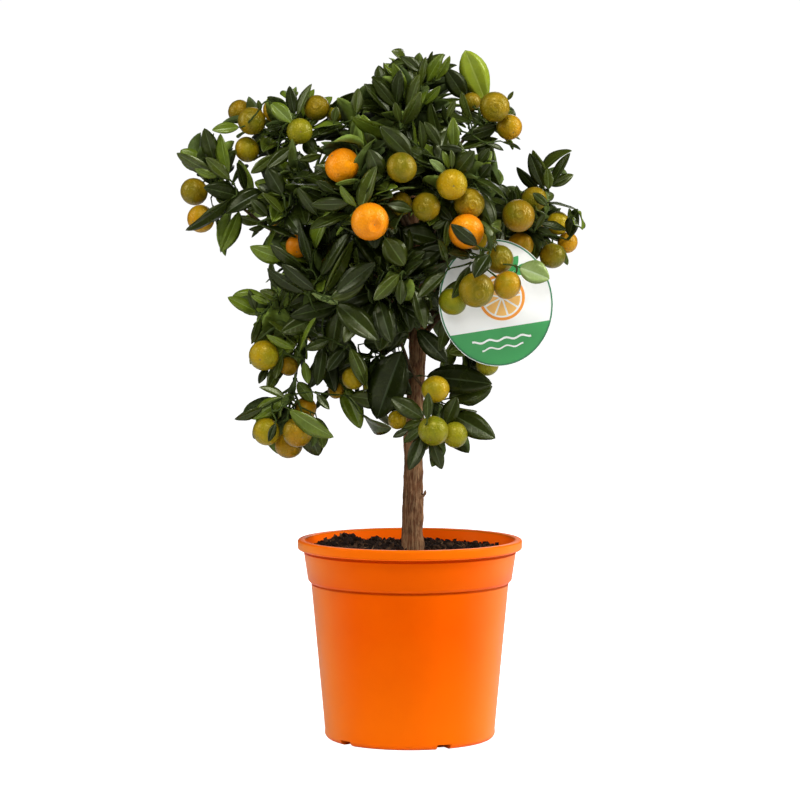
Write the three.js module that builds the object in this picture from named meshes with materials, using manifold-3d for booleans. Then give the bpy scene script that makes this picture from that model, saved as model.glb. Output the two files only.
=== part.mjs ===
// Calamondin orange tree in a round nursery pot: pot, soil, trunk, boughs, masses of leaves with
// their fruit, and a hanging label. Millimetres, +Z up. The origin is the centre of the pot's flat
// underside, +X is to the right and -Y is the front, where the label hangs.

import * as THREE from 'three';
import { mergeVertices } from 'three/addons/utils/BufferGeometryUtils.js';
import Module from 'manifold-3d';

const wasm = await Module();
wasm.setup();

// ---------------------------------------------------------------------------------------------
// Driving dimensions
// ---------------------------------------------------------------------------------------------

const CLEARANCE = 0.3; // between neighbouring pieces
const FACET_GAP = 0.42; // what a faceted piece is grown by to stay that clear of its neighbours
const TURN = 2 * Math.PI;
const GOLDEN_ANGLE = Math.PI * (3 - Math.sqrt(5)); // how far round the next leaf or shoot stands
const UP = new THREE.Vector3(0, 0, 1);

const POT = {
  height: 187,
  wall: 1.9,
  segments: 32,
  rimRadius: 105, // outside of the rolled rim
  rimDrop: 9.5, // height of the rolled rim
  rimRounding: 2.2,
  collarTopRadius: 99.4, // the wide collar under the rim
  collarFootRadius: 95.4,
  collarFoot: 145, // height of the step under the collar
  stepHeight: 2.6,
  bodyTopRadius: 92.4, // the tapering body under the step
  bodyFootRadius: 79.4,
  footRadius: 74, // edge of the flat foot, inside the rounded corner
  cornerHeight: 6,
  cornerInset: 1.8,
  dishRadii: [34, 62], // the raised ring in the underside
  dishDepth: 2.2,
  dishSlope: 2,
  notches: 5, // drain notches through the foot
  notchLength: 20,
  notchWidth: 13.5,
  notchHeight: 5,
  notchStart: THREE.MathUtils.degToRad(-66.8), // first notch, counted from +X
};

const SOIL = {
  level: 176,
  ringRadii: [20, 42, 66, 89],
  segments: 24,
  inset: POT.wall + 4 * CLEARANCE, // clear of the wall's flats between its facets
  // Lumps and hollows: waves that cross, with their angles per millimetre along x and y.
  waves: [
    { along: [0.16, 0.05], height: 2.4 },
    { along: [-0.06, 0.14], height: 2 },
    { along: [0.09, -0.19], height: 1.6 },
  ],
};

// The trunk's centre line, with its radius at each height: flare, bole and leader.
const TRUNK = {
  sides: 10,
  ringsEach: 2,
  line: [
    { at: [2.5, 0, SOIL.level + CLEARANCE], radius: 12.2 },
    { at: [2.4, 0, 192], radius: 10.3 },
    { at: [3, -1, 240], radius: 9.4 },
    { at: [3.6, 0, 290], radius: 8.8 },
    { at: [7, 2, 364], radius: 8.4 },
    { at: [8, 3, 425], radius: 6.6 },
    { at: [3, 4, 490], radius: 4.6 },
    { at: [-3, 0, 540], radius: 2.8 },
  ],
};

const BOUGH = {
  sides: 5,
  ringsEach: 2,
  rootRadius: 3.4,
  rootShare: 0.62, // most that its root takes of its parent's thickness
  tipRadius: 1.6,
  entryShare: 0.75, // how far out from the middle of its mass it ends
};

const TWIG = {
  sides: 3,
  stemRadius: 1.7,
  shootRadius: 1.35,
  tipRadius: 0.9,
  stalkRadius: 0.8,
  rootHeight: 1.6, // of the opening in its side that something grows out of
  bend: 0.4, // how far its middle is drawn towards where it first heads
};

// A mass's stem, and the shoots out of its side.
const STEM = {
  shortBy: 0.15, // share of its way by which it ends short of the middle of its mass
  forks: [0.2, 0.96], // part of it that has shoots
  forkShifts: [0, -0.12, 0.12, -0.25, 0.25, -0.4], // from a shoot's own place to others it tries
  forkGap: 2.2, // least distance between two shoots along it
  shootFoot: 4, // the part of a shoot next to it, which isn't tried against it
  leastFork: 0.7, // angle between it and a shoot
};

// Shoots whose end leaf reaches for a tip of the mass, and what they try.
const REACHING = {
  spread: [0.95, 1.1], // of the end leaf's length
  sizes: [1, 0.85, 0.7],
  rolls: [0, 0.6, -0.6, 1.2],
  forks: [0.5, 0.9], // where on the stem
};

// Shoots that fan out, and what they try.
const FAN = {
  spread: 1.45, // share of the way round that they take up: 2 is all round
  reach: [0.36, 0.58], // share of the mass's half-width at which they end
  forks: [0.94, 0.3], // first and last place on the stem
  turns: [0, 0.8, -0.8, 1.7, -1.7],
  turnSpread: 0.3,
};

const LEAF = {
  length: 45,
  lengthSpread: [0.8, 1.16],
  widthShare: 0.49,
  widthSpread: [0.88, 1.12],
  thickness: 0.6,
  bellyShare: 0.52, // where along it it is widest
  rise: 0.02, // of its edges above its midrib, as a share of its width
  spacing: 9, // along a shoot
  leastCount: 4, // on a shoot
  leafy: [0.3, 0.93], // part of a shoot that has leaves
  pitch: [0.7, 1.1], // angle between it and its shoot
  endPitch: [0.05, 0.3], // the same for the one at the shoot's end
  turnSpread: 0.4,
  droop: 0.12, // how much its own weight turns it down
  tries: 7, // places it tries, each a turn further about the shoot
  tryTurn: 0.95,
  footShare: 0.13, // the part of it next to its own twig, which isn't tried against it
  reachOver: 8, // how far its tip may stand out of its mass's space
};

// How strongly a leaf is turned at random, upwards and outwards when it is faced.
const FACING = { random: 0.8, up: 0.9, outward: 0.7 };

const FRUIT = {
  segments: 7,
  rings: 4,
  flatness: 0.93,
  dimple: 0.6, // how far the stalk is sunk in
  rootShares: [0.22, 0.4, 0.5, 0.6, 0.72, 0.85], // where on a twig it can hang
  leastSlant: 0.35, // angle between its stalk and the twig
  stalkFoot: 2.5, // the part of the stalk next to the twig, which isn't tried against it
  stalkShort: 1, // how far short of the fruit the stalk is tried
};

const SEED = 20471; // of the growth rule
const SEED_STEP = 977; // from one mass to the next
const CHANCE = { times: 1664525, plus: 1013904223, range: 2 ** 32 }; // of the random stream
const CROWN_HEART = new THREE.Vector3(-10, 0, 440);
const TWIG_PROBE_SHARES = [0.35, 0.65, 1];
const BALL_PROBE_FACETS = [10, 8]; // round and up
const MERGE_DISTANCE = 0.12; // edges shorter than this are closed up after joining
const WELD_DISTANCE = 1e-3;
const WELD_ROUNDS = 3;

const LABEL = {
  centre: [78, -70, 410],
  halfWidth: 52,
  halfHeight: 58,
  thickness: 0.8,
  lean: THREE.MathUtils.degToRad(9), // its top leans to the left
  neckHalfWidth: 8,
  neckTop: 72, // from the centre, along the label
  neckCorner: 3,
  holeRadius: 5,
  holeUp: 64,
  segments: 12, // to each curve
};

// Boughs in growing order. Each leaves `from` at a share of its length and ends in the mass of the
// same name. `via` lists the points it bends through.
const BOUGHS = [
  { name: 'top_right', from: 'trunk', share: 0.86, via: [[30, -6, 535]] },
  { name: 'upper_left', from: 'trunk', share: 0.8, via: [[-40, 4, 528]] },
  { name: 'upper_middle', from: 'trunk', share: 0.91, via: [] },
  { name: 'far_left', from: 'trunk', share: 0.72, via: [[-55, 6, 462], [-128, 2, 476]] },
  { name: 'left', from: 'far_left', share: 0.42, via: [] },
  { name: 'left_middle', from: 'trunk', share: 0.66, via: [[-34, -12, 432]] },
  { name: 'centre_front', from: 'trunk', share: 0.77, via: [[-6, -30, 490]] },
  { name: 'centre_right', from: 'trunk', share: 0.7, via: [[20, -28, 470]] },
  { name: 'right', from: 'trunk', share: 0.67, via: [[52, 4, 462]] },
  { name: 'far_right', from: 'right', share: 0.6, via: [] },
  { name: 'lower_right', from: 'trunk', share: 0.6, via: [[44, -30, 462], [68, -70, 475.2]] },
  { name: 'lower_centre', from: 'trunk', share: 0.56, via: [[-4, -28, 418]] },
  { name: 'lower_left', from: 'trunk', share: 0.62, via: [[-48, -4, 418]] },
  { name: 'lowest_left', from: 'lower_left', share: 0.7, via: [[-92, -4, 388], [-104, -12, 352]] },
  { name: 'low_middle', from: 'trunk', share: 0.54, via: [[-24, -8, 386]] },
  { name: 'low_front', from: 'lower_centre', share: 0.45, via: [[-14, -40, 398], [2, -36, 345]] },
  { name: 'under_right', from: 'trunk', share: 0.53, via: [[28, -8, 396]] },
  { name: 'back_top', from: 'trunk', share: 0.88, via: [[-8, 30, 535]] },
  { name: 'back_left', from: 'trunk', share: 0.74, via: [[-45, 36, 470]] },
  { name: 'back_right', from: 'trunk', share: 0.75, via: [[42, 38, 478]] },
  { name: 'back_centre', from: 'trunk', share: 0.68, via: [[2, 50, 456]] },
  { name: 'back_low_left', from: 'trunk', share: 0.61, via: [[-34, 34, 410]] },
  { name: 'back_low_right', from: 'trunk', share: 0.58, via: [[36, 34, 408]] },
];

// Masses of foliage. `centre` and `size` are the middle and the half-widths of the space that one
// keeps to. Its first shoots reach for `tips`, where its outermost leaves end, and `shoots` more fan
// out round `aim`. `leaf` is the size of its leaves, and each fruit is its centre and radius.
const MASSES = [
  { name: 'crown', centre: [4, -6, 592], size: [52, 44, 46], aim: [0, -0.2, 1],
    shoots: 6, leaf: 0.9,
    tips: [[-9, -20, 637], [21, -10, 641], [35, 6, 638], [41, -22, 626], [-43, -10, 612]],
    fruit: [] },
  { name: 'top_right', centre: [72, -26, 586], size: [44, 42, 56], aim: [0.5, -0.3, 0.4],
    shoots: 5, leaf: 0.9,
    tips: [[52, -45, 641], [102, -30, 549], [74, -40, 549]],
    fruit: [[77, -52, 588, 14], [91, -34, 570, 12], [57, -6, 594, 9]] },
  { name: 'upper_left', centre: [-120, -8, 570], size: [62, 42, 40], aim: [-0.3, -0.4, 0.6],
    shoots: 4, leaf: 1,
    tips: [[-111, -10, 610], [-89, -10, 611], [-141, 0, 597], [-167, -20, 553], [-181, -20, 567]],
    fruit: [[-159, 12, 586, 11], [-146, -19, 576, 13], [-151, -8, 550, 12], [-125, 4, 587, 12],
      [-86, -22, 588, 12], [-101, -44, 566, 12], [-70, 2, 584, 9]] },
  { name: 'upper_middle', centre: [-50, -14, 570], size: [40, 40, 40], aim: [-0.4, -0.6, 0.5],
    shoots: 5, leaf: 1,
    tips: [[-50, -10, 603], [-80, -30, 543]],
    fruit: [] },
  { name: 'far_left', centre: [-184, -4, 516], size: [44, 40, 60], aim: [-0.8, -0.2, 0.2],
    shoots: 3, leaf: 1,
    tips: [[-217, 0, 547], [-190, -5, 569], [-174, -6, 453], [-208, -12, 474], [-147, -18, 474]],
    fruit: [[-200, -10, 511, 13], [-193, -24, 486, 13]] },
  { name: 'left', centre: [-106, -30, 508], size: [46, 46, 44], aim: [-0.6, -0.6, 0.3],
    shoots: 7, leaf: 1,
    tips: [[-137, -30, 541], [-86, -30, 535]],
    fruit: [[-103, -48, 461, 11]] },
  { name: 'left_middle', centre: [-84, -40, 446], size: [52, 46, 40], aim: [-0.5, -0.8, 0.2],
    shoots: 8, leaf: 1,
    tips: [[-138, -30, 466]],
    fruit: [] },
  { name: 'centre_front', centre: [-38, -88, 518], size: [48, 52, 56], aim: [-0.2, -0.8, 0.5],
    shoots: 8, leaf: 1,
    tips: [],
    fruit: [[-61, -108, 534, 16], [-36, -136, 484, 17], [-8, -122, 532, 14]] },
  { name: 'centre_right', centre: [34, -72, 518], size: [42, 50, 54], aim: [0.4, -0.8, 0.5],
    shoots: 7, leaf: 1,
    tips: [[74, -50, 540]],
    fruit: [[14, -104, 497, 13], [-9, -92, 500, 11], [37, -116, 517, 14], [53, -96, 500, 14],
      [50, -114, 475, 16], [60, -92, 467, 9.5]] },
  { name: 'right', centre: [116, -22, 480], size: [44, 50, 44], aim: [0.7, -0.3, 0.3],
    shoots: 7, leaf: 0.85,
    tips: [[156, 0, 497], [94, -16, 518]],
    fruit: [[98, -76, 489, 15], [101, -50, 462, 12], [131, -34, 452, 12], [146, -12, 464, 10],
      [137, -18, 482, 11], [114, -34, 504, 12]] },
  { name: 'far_right', centre: [124, -8, 526], size: [34, 34, 34], aim: [0.3, 0, 0.9],
    shoots: 2, leaf: 0.9,
    tips: [[100, -10, 534], [110, -10, 549], [149, -6, 546]],
    fruit: [] },
  { name: 'lower_right', centre: [64, -102, 442], size: [50, 38, 42], aim: [0, -0.5, 0.4],
    shoots: 9, leaf: 0.7,
    tips: [[104, -92, 458], [24, -96, 440]],
    fruit: [[59, -118, 423, 16], [87, -110, 427, 13], [38, -97, 412, 13], [80, -98, 450, 13]] },
  { name: 'lower_centre', centre: [-22, -74, 426], size: [52, 50, 50], aim: [-0.1, -0.9, -0.1],
    shoots: 9, leaf: 1.1,
    tips: [[-28, -76, 366]],
    fruit: [] },
  { name: 'lower_left', centre: [-116, -24, 388], size: [52, 48, 50], aim: [-0.6, -0.4, -0.1],
    shoots: 7, leaf: 1,
    tips: [[-170, -10, 413], [-161, 0, 388], [-148, -30, 352], [-82, -30, 338]],
    fruit: [[-134, -52, 361, 14], [-112, -34, 350, 9]] },
  { name: 'lowest_left', centre: [-112, -30, 310], size: [50, 42, 42], aim: [-0.2, -0.2, -0.7],
    shoots: 5, leaf: 1,
    tips: [[-162, -20, 307], [-70, -30, 285]],
    fruit: [[-97, -18, 310, 11], [-132, -50, 291, 13], [-103, -58, 291, 14], [-112, -32, 277, 13]] },
  { name: 'low_middle', centre: [-46, -30, 342], size: [44, 42, 50], aim: [-0.2, -0.4, -0.6],
    shoots: 6, leaf: 1.15,
    tips: [[-42, -40, 293], [-28, -56, 302], [-80, -34, 352], [-2, -40, 352]],
    fruit: [[-52, -42, 340, 11], [-69, -15, 327, 8]] },
  { name: 'low_front', centre: [34, -54, 304], size: [48, 36, 50], aim: [0.3, -0.4, -0.7],
    shoots: 4, leaf: 1.15,
    tips: [[76, -50, 335], [78, -60, 287], [28, -60, 257], [2, -50, 259]],
    fruit: [[23, -66, 331, 13], [21, -80, 294, 14], [41, -62, 289, 12], [-12, -50, 302, 9]] },
  { name: 'under_right', centre: [50, -24, 374], size: [38, 38, 40], aim: [0.5, -0.4, -0.4],
    shoots: 4, leaf: 1,
    tips: [[74, -46, 335], [36, -40, 352], [28, -46, 380]],
    fruit: [[71, -48, 353, 11]] },
  { name: 'back_top', centre: [-12, 62, 566], size: [60, 46, 48], aim: [0, 0.6, 0.8],
    shoots: 7, leaf: 1.1,
    tips: [],
    fruit: [[-38, 84, 548, 14], [18, 92, 560, 13]] },
  { name: 'back_left', centre: [-98, 74, 494], size: [58, 50, 54], aim: [-0.6, 0.6, 0.4],
    shoots: 6, leaf: 1.1,
    tips: [],
    fruit: [[-120, 92, 478, 15], [-84, 108, 486, 13]] },
  { name: 'back_right', centre: [76, 72, 498], size: [56, 50, 54], aim: [0.6, 0.6, 0.4],
    shoots: 6, leaf: 1.1,
    tips: [],
    fruit: [[96, 100, 492, 15], [118, 74, 486, 13]] },
  { name: 'back_centre', centre: [-4, 122, 474], size: [52, 40, 48], aim: [0, 0.9, 0.1],
    shoots: 6, leaf: 1.1,
    tips: [],
    fruit: [[-14, 142, 452, 16], [22, 138, 462, 13]] },
  { name: 'back_low_left', centre: [-66, 76, 400], size: [52, 50, 46], aim: [-0.5, 0.6, -0.2],
    shoots: 6, leaf: 1.1,
    tips: [],
    fruit: [[-88, 92, 378, 14], [-60, 98, 382, 12]] },
  { name: 'back_low_right', centre: [62, 76, 406], size: [50, 50, 46], aim: [0.5, 0.6, -0.2],
    shoots: 6, leaf: 1.1,
    tips: [],
    fruit: [[78, 92, 386, 14], [50, 100, 388, 12]] },
];

// ---------------------------------------------------------------------------------------------
// Solids, vectors and chance
// ---------------------------------------------------------------------------------------------

const vector = ([x, y, z]) => new THREE.Vector3(x, y, z);

// A closed geometry as a solid that can be joined and cut. Corners closer than the weld are one.
function solidFrom(geometry, weld = 1e-4) {
  const bare = new THREE.BufferGeometry();
  bare.setAttribute('position', geometry.getAttribute('position'));
  bare.setIndex(geometry.index);
  const merged = mergeVertices(bare, weld);
  return new wasm.Manifold(new wasm.Mesh({
    numProp: 3,
    vertProperties: new Float32Array(merged.attributes.position.array),
    triVerts: new Uint32Array(merged.index.array),
  }));
}

function bareGeometry(solid) {
  const mesh = solid.getMesh();
  const geometry = new THREE.BufferGeometry();
  geometry.setAttribute('position', new THREE.BufferAttribute(mesh.vertProperties, 3));
  geometry.setIndex(new THREE.BufferAttribute(mesh.triVerts, 1));
  return geometry;
}

const largestBody = (solid) => solid.decompose().sort((a, b) => b.volume() - a.volume())[0];

// A solid's largest body as geometry: loose scraps and sealed hollows are left out, and so are
// those that appear when its closest corners are welded.
function geometryFrom(solid) {
  let body = largestBody(solid).simplify(MERGE_DISTANCE);
  for (let round = 0; round < WELD_ROUNDS; round++) {
    body = largestBody(solidFrom(bareGeometry(body), WELD_DISTANCE));
  }
  const geometry = bareGeometry(body);
  geometry.computeVertexNormals();
  return geometry;
}

// A closed geometry from corner points and triangles.
function facetedGeometry(points, triangles) {
  const geometry = new THREE.BufferGeometry().setFromPoints(points);
  geometry.setIndex(triangles);
  return geometry;
}

// Repeatable chance: every mass has its own stream, so one can change without moving the others.
function makeRandom(seed) {
  let state = seed >>> 0;
  return (low, high) => {
    state = (Math.imul(state, CHANCE.times) + CHANCE.plus) >>> 0;
    return low + ((high - low) * state) / CHANCE.range;
  };
}

// The direction at an angle from `heading`, towards `across`, which is square to it.
function slanted(heading, across, angle) {
  return heading.clone().multiplyScalar(Math.cos(angle)).addScaledVector(across, Math.sin(angle));
}

// Any direction square to another.
function squareTo(direction) {
  const helper = Math.abs(direction.z) < 0.9 ? UP : new THREE.Vector3(1, 0, 0);
  return new THREE.Vector3().crossVectors(direction, helper).normalize();
}

// The part of a direction that is square to another.
function squareShare(way, heading) {
  return way.clone().addScaledVector(heading, -way.dot(heading)).normalize();
}

// ---------------------------------------------------------------------------------------------
// Limbs: tapering tubes along smooth lines
// ---------------------------------------------------------------------------------------------

// A limb's line through its points, with a radius at each. `slopes` are its headings there.
function makeLimb(points, radii) {
  const along = [0];
  for (let i = 1; i < points.length; i++) {
    along.push(along[i - 1] + points[i].distanceTo(points[i - 1]));
  }
  const slopes = points.map((_, i) => {
    const [before, after] = [Math.max(i - 1, 0), Math.min(i + 1, points.length - 1)];
    return points[after].clone().sub(points[before]).divideScalar(along[after] - along[before]);
  });
  return { points, radii, along, slopes, length: along[along.length - 1] };
}

// Where a limb is at a share of its length, which way it heads there, and how thick it is.
function limbAt(limb, share) {
  const { points, radii, along, slopes } = limb;
  const distance = share * limb.length;
  let i = 1;
  while (i < points.length - 1 && along[i] < distance) i++;
  const span = along[i] - along[i - 1];
  const u = (distance - along[i - 1]) / span;
  const rest = 1 - u;
  // A Hermite curve, and its slope, from the two points and their headings.
  const blend = (a, b, c, d) => new THREE.Vector3().addScaledVector(points[i - 1], a)
    .addScaledVector(slopes[i - 1], b).addScaledVector(points[i], c).addScaledVector(slopes[i], d);
  const point = blend(
    rest ** 2 * (1 + 2 * u), span * u * rest ** 2, u ** 2 * (3 - 2 * u), -span * u ** 2 * rest);
  const turn = (6 * u * rest) / span;
  const heading = blend(-turn, rest * (1 - 3 * u), turn, u * (3 * u - 2)).normalize();
  return { point, heading, radius: THREE.MathUtils.lerp(radii[i - 1], radii[i], u) };
}

// The corners of a ring square to `heading`, the first of them half a side before `toward`, so
// that the first side of the ring faces that way.
function ringCorners({ point, heading, radius }, sides, toward) {
  const square = squareShare(toward, heading);
  return Array.from({ length: sides }, (_, k) => square.clone()
    .applyAxisAngle(heading, (TURN * (k - 0.5)) / sides).multiplyScalar(radius).add(point));
}

// A closed surface that is built ring by ring. All rings turn the same way about their heading.
class Surface {
  points = [];
  triangles = [];

  ring(corners) {
    this.points.push(...corners);
    return corners.map((_, k) => this.points.length - corners.length + k);
  }

  // Joins two rings of as many corners, side by side, but for the side that is left open.
  join(from, to, open = -1) {
    from.forEach((corner, k) => {
      if (k === open) return;
      const next = (k + 1) % from.length;
      this.triangles.push(corner, from[next], to[next], corner, to[next], to[k]);
    });
  }

  // Joins any two rings, turned to twist as little as they can.
  bridge(from, to) {
    const { points, triangles } = this;
    const [n, m] = [from.length, to.length];
    const spokes = (ring) => {
      const middle = ring.reduce((sum, i) => sum.add(points[i]), new THREE.Vector3());
      middle.divideScalar(ring.length);
      return ring.map((i) => points[i].clone().sub(middle).normalize());
    };
    const [a, b] = [spokes(from), spokes(to)];
    const facing = (i, shift) => b[(Math.round((i * m) / n) + shift) % m];
    const fit = to.map((_, shift) => a.reduce((sum, spoke, i) => sum + spoke.dot(facing(i, shift)), 0));
    const shift = fit.indexOf(Math.max(...fit));
    let [i, j] = [0, 0];
    while (i < n || j < m) {
      const [corner, other] = [from[i % n], to[(j + shift) % m]];
      if (j === m || (i < n && (i + 1) * m <= (j + 1) * n)) {
        i += 1;
        triangles.push(corner, from[i % n], other);
      } else {
        j += 1;
        triangles.push(corner, to[(j + shift) % m], other);
      }
    }
  }

  // Closes a ring with a point beyond it.
  close(ring, corner) {
    const [tip] = this.ring([corner]);
    ring.forEach((_, k) => this.triangles.push(ring[k], ring[(k + 1) % ring.length], tip));
  }

  // Closes a ring flat, at the end or the start of what it belongs to.
  cap(ring, atEnd) {
    for (let k = 1; k < ring.length - 1; k++) {
      this.triangles.push(ring[0], ...(atEnd ? [ring[k], ring[k + 1]] : [ring[k + 1], ring[k]]));
    }
  }

  geometry() {
    return facetedGeometry(this.points, this.triangles);
  }
}

// A limb as a closed tube with a few rings to each stretch between its points, `extra` thicker.
function limbGeometry(limb, { sides, ringsEach }, extra = 0) {
  const surface = new Surface();
  const { along, length } = limb;
  const shares = [0];
  for (let i = 1; i < along.length; i++) {
    for (let k = 1; k <= ringsEach; k++) {
      shares.push(THREE.MathUtils.lerp(along[i - 1], along[i], k / ringsEach) / length);
    }
  }
  let toward = squareTo(limbAt(limb, 0).heading);
  let last = null;
  for (const share of shares) {
    const at = limbAt(limb, share);
    toward = squareShare(toward, at.heading);
    const ring = surface.ring(ringCorners({ ...at, radius: at.radius + extra }, sides, toward));
    if (last) surface.join(last, ring);
    else surface.cap(ring, false);
    last = ring;
  }
  surface.cap(last, true);
  return surface.geometry();
}

// ---------------------------------------------------------------------------------------------
// Materials and the group
// ---------------------------------------------------------------------------------------------

const finish = (color, roughness) => new THREE.MeshStandardMaterial({ color, roughness, metalness: 0 });
const MATERIALS = {
  pot: finish(0xf06a12, 0.45),
  soil: finish(0x2b2019, 0.95),
  bark: finish(0x6e5947, 0.9),
  foliage: finish(0x2f4a1c, 0.4),
  label: finish(0xf4f5f1, 0.35),
};

const tree = new THREE.Group();

function addMesh(name, geometry, material) {
  const mesh = new THREE.Mesh(geometry, material);
  mesh.name = name;
  tree.add(mesh);
  return mesh;
}

// What has grown so far, for the pieces that have to keep clear of it.
const placed = [];

function place(owner, solid) {
  placed.push({ owner, solid, box: solid.boundingBox() });
}

const boxesMeet = (a, b) => [0, 1, 2].every((i) => a.min[i] <= b.max[i] && b.min[i] <= a.max[i]);

// Whether a solid runs into anything placed that `counts` picks out.
function runsInto(solid, counts) {
  const box = solid.boundingBox();
  return placed.some((other) => {
    if (!counts(other) || !boxesMeet(box, other.box)) return false;
    const common = solid.intersect(other.solid);
    const meets = !common.isEmpty();
    common.delete();
    return meets;
  });
}

// ---------------------------------------------------------------------------------------------
// Pot and soil
// ---------------------------------------------------------------------------------------------

function potGeometry() {
  const p = POT;
  const floor = p.dishDepth + p.wall;
  const collarTop = p.height - p.rimDrop;
  const stepFoot = p.collarFoot - p.stepHeight;
  const profile = [
    [0, 0],
    [p.dishRadii[0], 0],
    [p.dishRadii[0] + p.dishSlope, p.dishDepth],
    [p.dishRadii[1] - p.dishSlope, p.dishDepth],
    [p.dishRadii[1], 0],
    [p.footRadius, 0],
    [p.bodyFootRadius - p.cornerInset, p.cornerInset],
    [p.bodyFootRadius, p.cornerHeight],
    [p.bodyTopRadius, stepFoot],
    [p.collarFootRadius, p.collarFoot],
    [p.collarTopRadius, collarTop],
    [p.rimRadius - p.rimRounding, collarTop],
    [p.rimRadius, collarTop + p.rimRounding],
    [p.rimRadius, p.height - p.rimRounding],
    [p.rimRadius - p.rimRounding, p.height],
    [p.collarTopRadius - p.wall, p.height],
    [p.bodyTopRadius - p.wall, stepFoot],
    [p.bodyFootRadius - p.wall, p.cornerHeight],
    [p.footRadius, floor],
    [0, floor],
  ].map(([radius, z]) => new THREE.Vector2(radius, z));
  // A lathe turns about +Y, so it is stood up onto +Z.
  let pot = solidFrom(new THREE.LatheGeometry(profile, p.segments).rotateX(Math.PI / 2));
  for (let i = 0; i < p.notches; i++) {
    const notch = new THREE.BoxGeometry(p.notchLength, p.notchWidth, 2 * p.notchHeight);
    notch.translate(p.footRadius, 0, 0).rotateZ(p.notchStart + (TURN * i) / p.notches);
    pot = pot.subtract(solidFrom(notch));
  }
  return geometryFrom(pot);
}

// Height of the soil's surface: lumps that fade out to a flat place round the trunk's foot.
function soilHeight(x, y, radius) {
  const fade = THREE.MathUtils.smoothstep(radius, SOIL.ringRadii[0], SOIL.ringRadii[2]);
  return SOIL.waves.reduce(
    (sum, { along: [a, b], height }) => sum + fade * height * Math.sin(a * x + b * y), SOIL.level);
}

function soilGeometry() {
  const n = SOIL.segments;
  const floor = POT.dishDepth + POT.wall + CLEARANCE;
  const wall = [
    [POT.footRadius - SOIL.inset, floor],
    [POT.bodyFootRadius - SOIL.inset, POT.cornerHeight + SOIL.inset],
    [POT.bodyTopRadius - SOIL.inset, POT.collarFoot - POT.stepHeight - SOIL.inset],
  ].map(([radius, z]) => ({ radius, heightAt: () => z }));
  const top = SOIL.ringRadii.map((radius) => ({ radius, heightAt: soilHeight })).reverse();
  const surface = new Surface();
  const rings = [...wall, ...top].map(({ radius, heightAt }) => surface.ring(
    Array.from({ length: n }, (_, k) => {
      const [x, y] = [radius * Math.cos((TURN * k) / n), radius * Math.sin((TURN * k) / n)];
      return new THREE.Vector3(x, y, heightAt(x, y, radius));
    })));
  surface.cap(rings[0], false);
  rings.slice(1).forEach((ring, i) => surface.join(rings[i], ring));
  surface.close(rings[rings.length - 1], new THREE.Vector3(0, 0, SOIL.level));
  return surface.geometry();
}

addMesh('pot', potGeometry(), MATERIALS.pot);
addMesh('soil', soilGeometry(), MATERIALS.soil);

// ---------------------------------------------------------------------------------------------
// Trunk and boughs
// ---------------------------------------------------------------------------------------------

const massNamed = (name) => MASSES.find((mass) => mass.name === name);

// Where a limb that comes from `root` enters a mass: on the near side of its space.
function entryPoint(mass, root) {
  const centre = vector(mass.centre);
  const inward = centre.clone().sub(root).normalize();
  const [sx, sy, sz] = mass.size;
  const reach = 1 / Math.hypot(inward.x / sx, inward.y / sy, inward.z / sz);
  return centre.addScaledVector(inward, -BOUGH.entryShare * reach);
}

const limbs = new Map();
limbs.set('trunk', makeLimb(TRUNK.line.map((p) => vector(p.at)), TRUNK.line.map((p) => p.radius)));
const trunkGeometry = limbGeometry(limbs.get('trunk'), TRUNK);
// The trunk stands square on the soil, so its first ring is laid flat.
for (let k = 0; k < TRUNK.sides; k++) {
  trunkGeometry.attributes.position.setZ(k, SOIL.level + CLEARANCE);
}
addMesh('trunk', trunkGeometry, MATERIALS.bark);
place('trunk', solidFrom(trunkGeometry));

for (const bough of BOUGHS) {
  const parent = limbs.get(bough.from);
  const { point: root, radius: parentRadius } = limbAt(parent, bough.share);
  const bends = bough.via.map(vector);
  const tip = entryPoint(massNamed(bough.name), bends.length ? bends[bends.length - 1] : root);
  const points = [root, ...bends, tip];
  const rootRadius = Math.min(BOUGH.rootRadius, BOUGH.rootShare * parentRadius);
  const taper = (share) => THREE.MathUtils.lerp(rootRadius, BOUGH.tipRadius, share);
  const radii = points.map((_, i) => taper(i / (points.length - 1)));
  const limb = makeLimb(points, radii);
  limbs.set(bough.name, limb);
  const grown = solidFrom(limbGeometry(limb, BOUGH));
  // It is cut clear of the limb it grows from, and so seats on that limb's side.
  const parentShape = bough.from === 'trunk' ? TRUNK : BOUGH;
  const cut = grown.subtract(solidFrom(limbGeometry(parent, parentShape, FACET_GAP)));
  const geometry = geometryFrom(cut);
  addMesh('bough_' + bough.name, geometry, MATERIALS.bark);
  place('bough_' + bough.name, solidFrom(geometry));
}

// ---------------------------------------------------------------------------------------------
// Label: an egg-shaped card that hangs by its neck on the lower right bough
// ---------------------------------------------------------------------------------------------

function labelGeometry() {
  const l = LABEL;
  const shape = new THREE.Shape();
  const neckAngle = Math.acos(l.neckHalfWidth / l.halfWidth);
  shape.absellipse(0, 0, l.halfWidth, l.halfHeight, Math.PI - neckAngle, TURN + neckAngle, false);
  shape.lineTo(l.neckHalfWidth, l.neckTop - l.neckCorner);
  shape.lineTo(l.neckHalfWidth - l.neckCorner, l.neckTop);
  shape.lineTo(l.neckCorner - l.neckHalfWidth, l.neckTop);
  shape.lineTo(-l.neckHalfWidth, l.neckTop - l.neckCorner);
  shape.closePath();
  shape.holes.push(new THREE.Path().absellipse(0, l.holeUp, l.holeRadius, l.holeRadius, 0, TURN, true));
  const card = new THREE.ExtrudeGeometry(
    shape, { depth: l.thickness, bevelEnabled: false, curveSegments: l.segments });
  // The card is drawn lying down: it is stood up to face the front, and leans.
  card.translate(0, 0, -l.thickness / 2).rotateX(Math.PI / 2).rotateY(-l.lean);
  return card.translate(...l.centre);
}

const label = addMesh('label', labelGeometry(), MATERIALS.label);
place('label', solidFrom(label.geometry));

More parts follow.
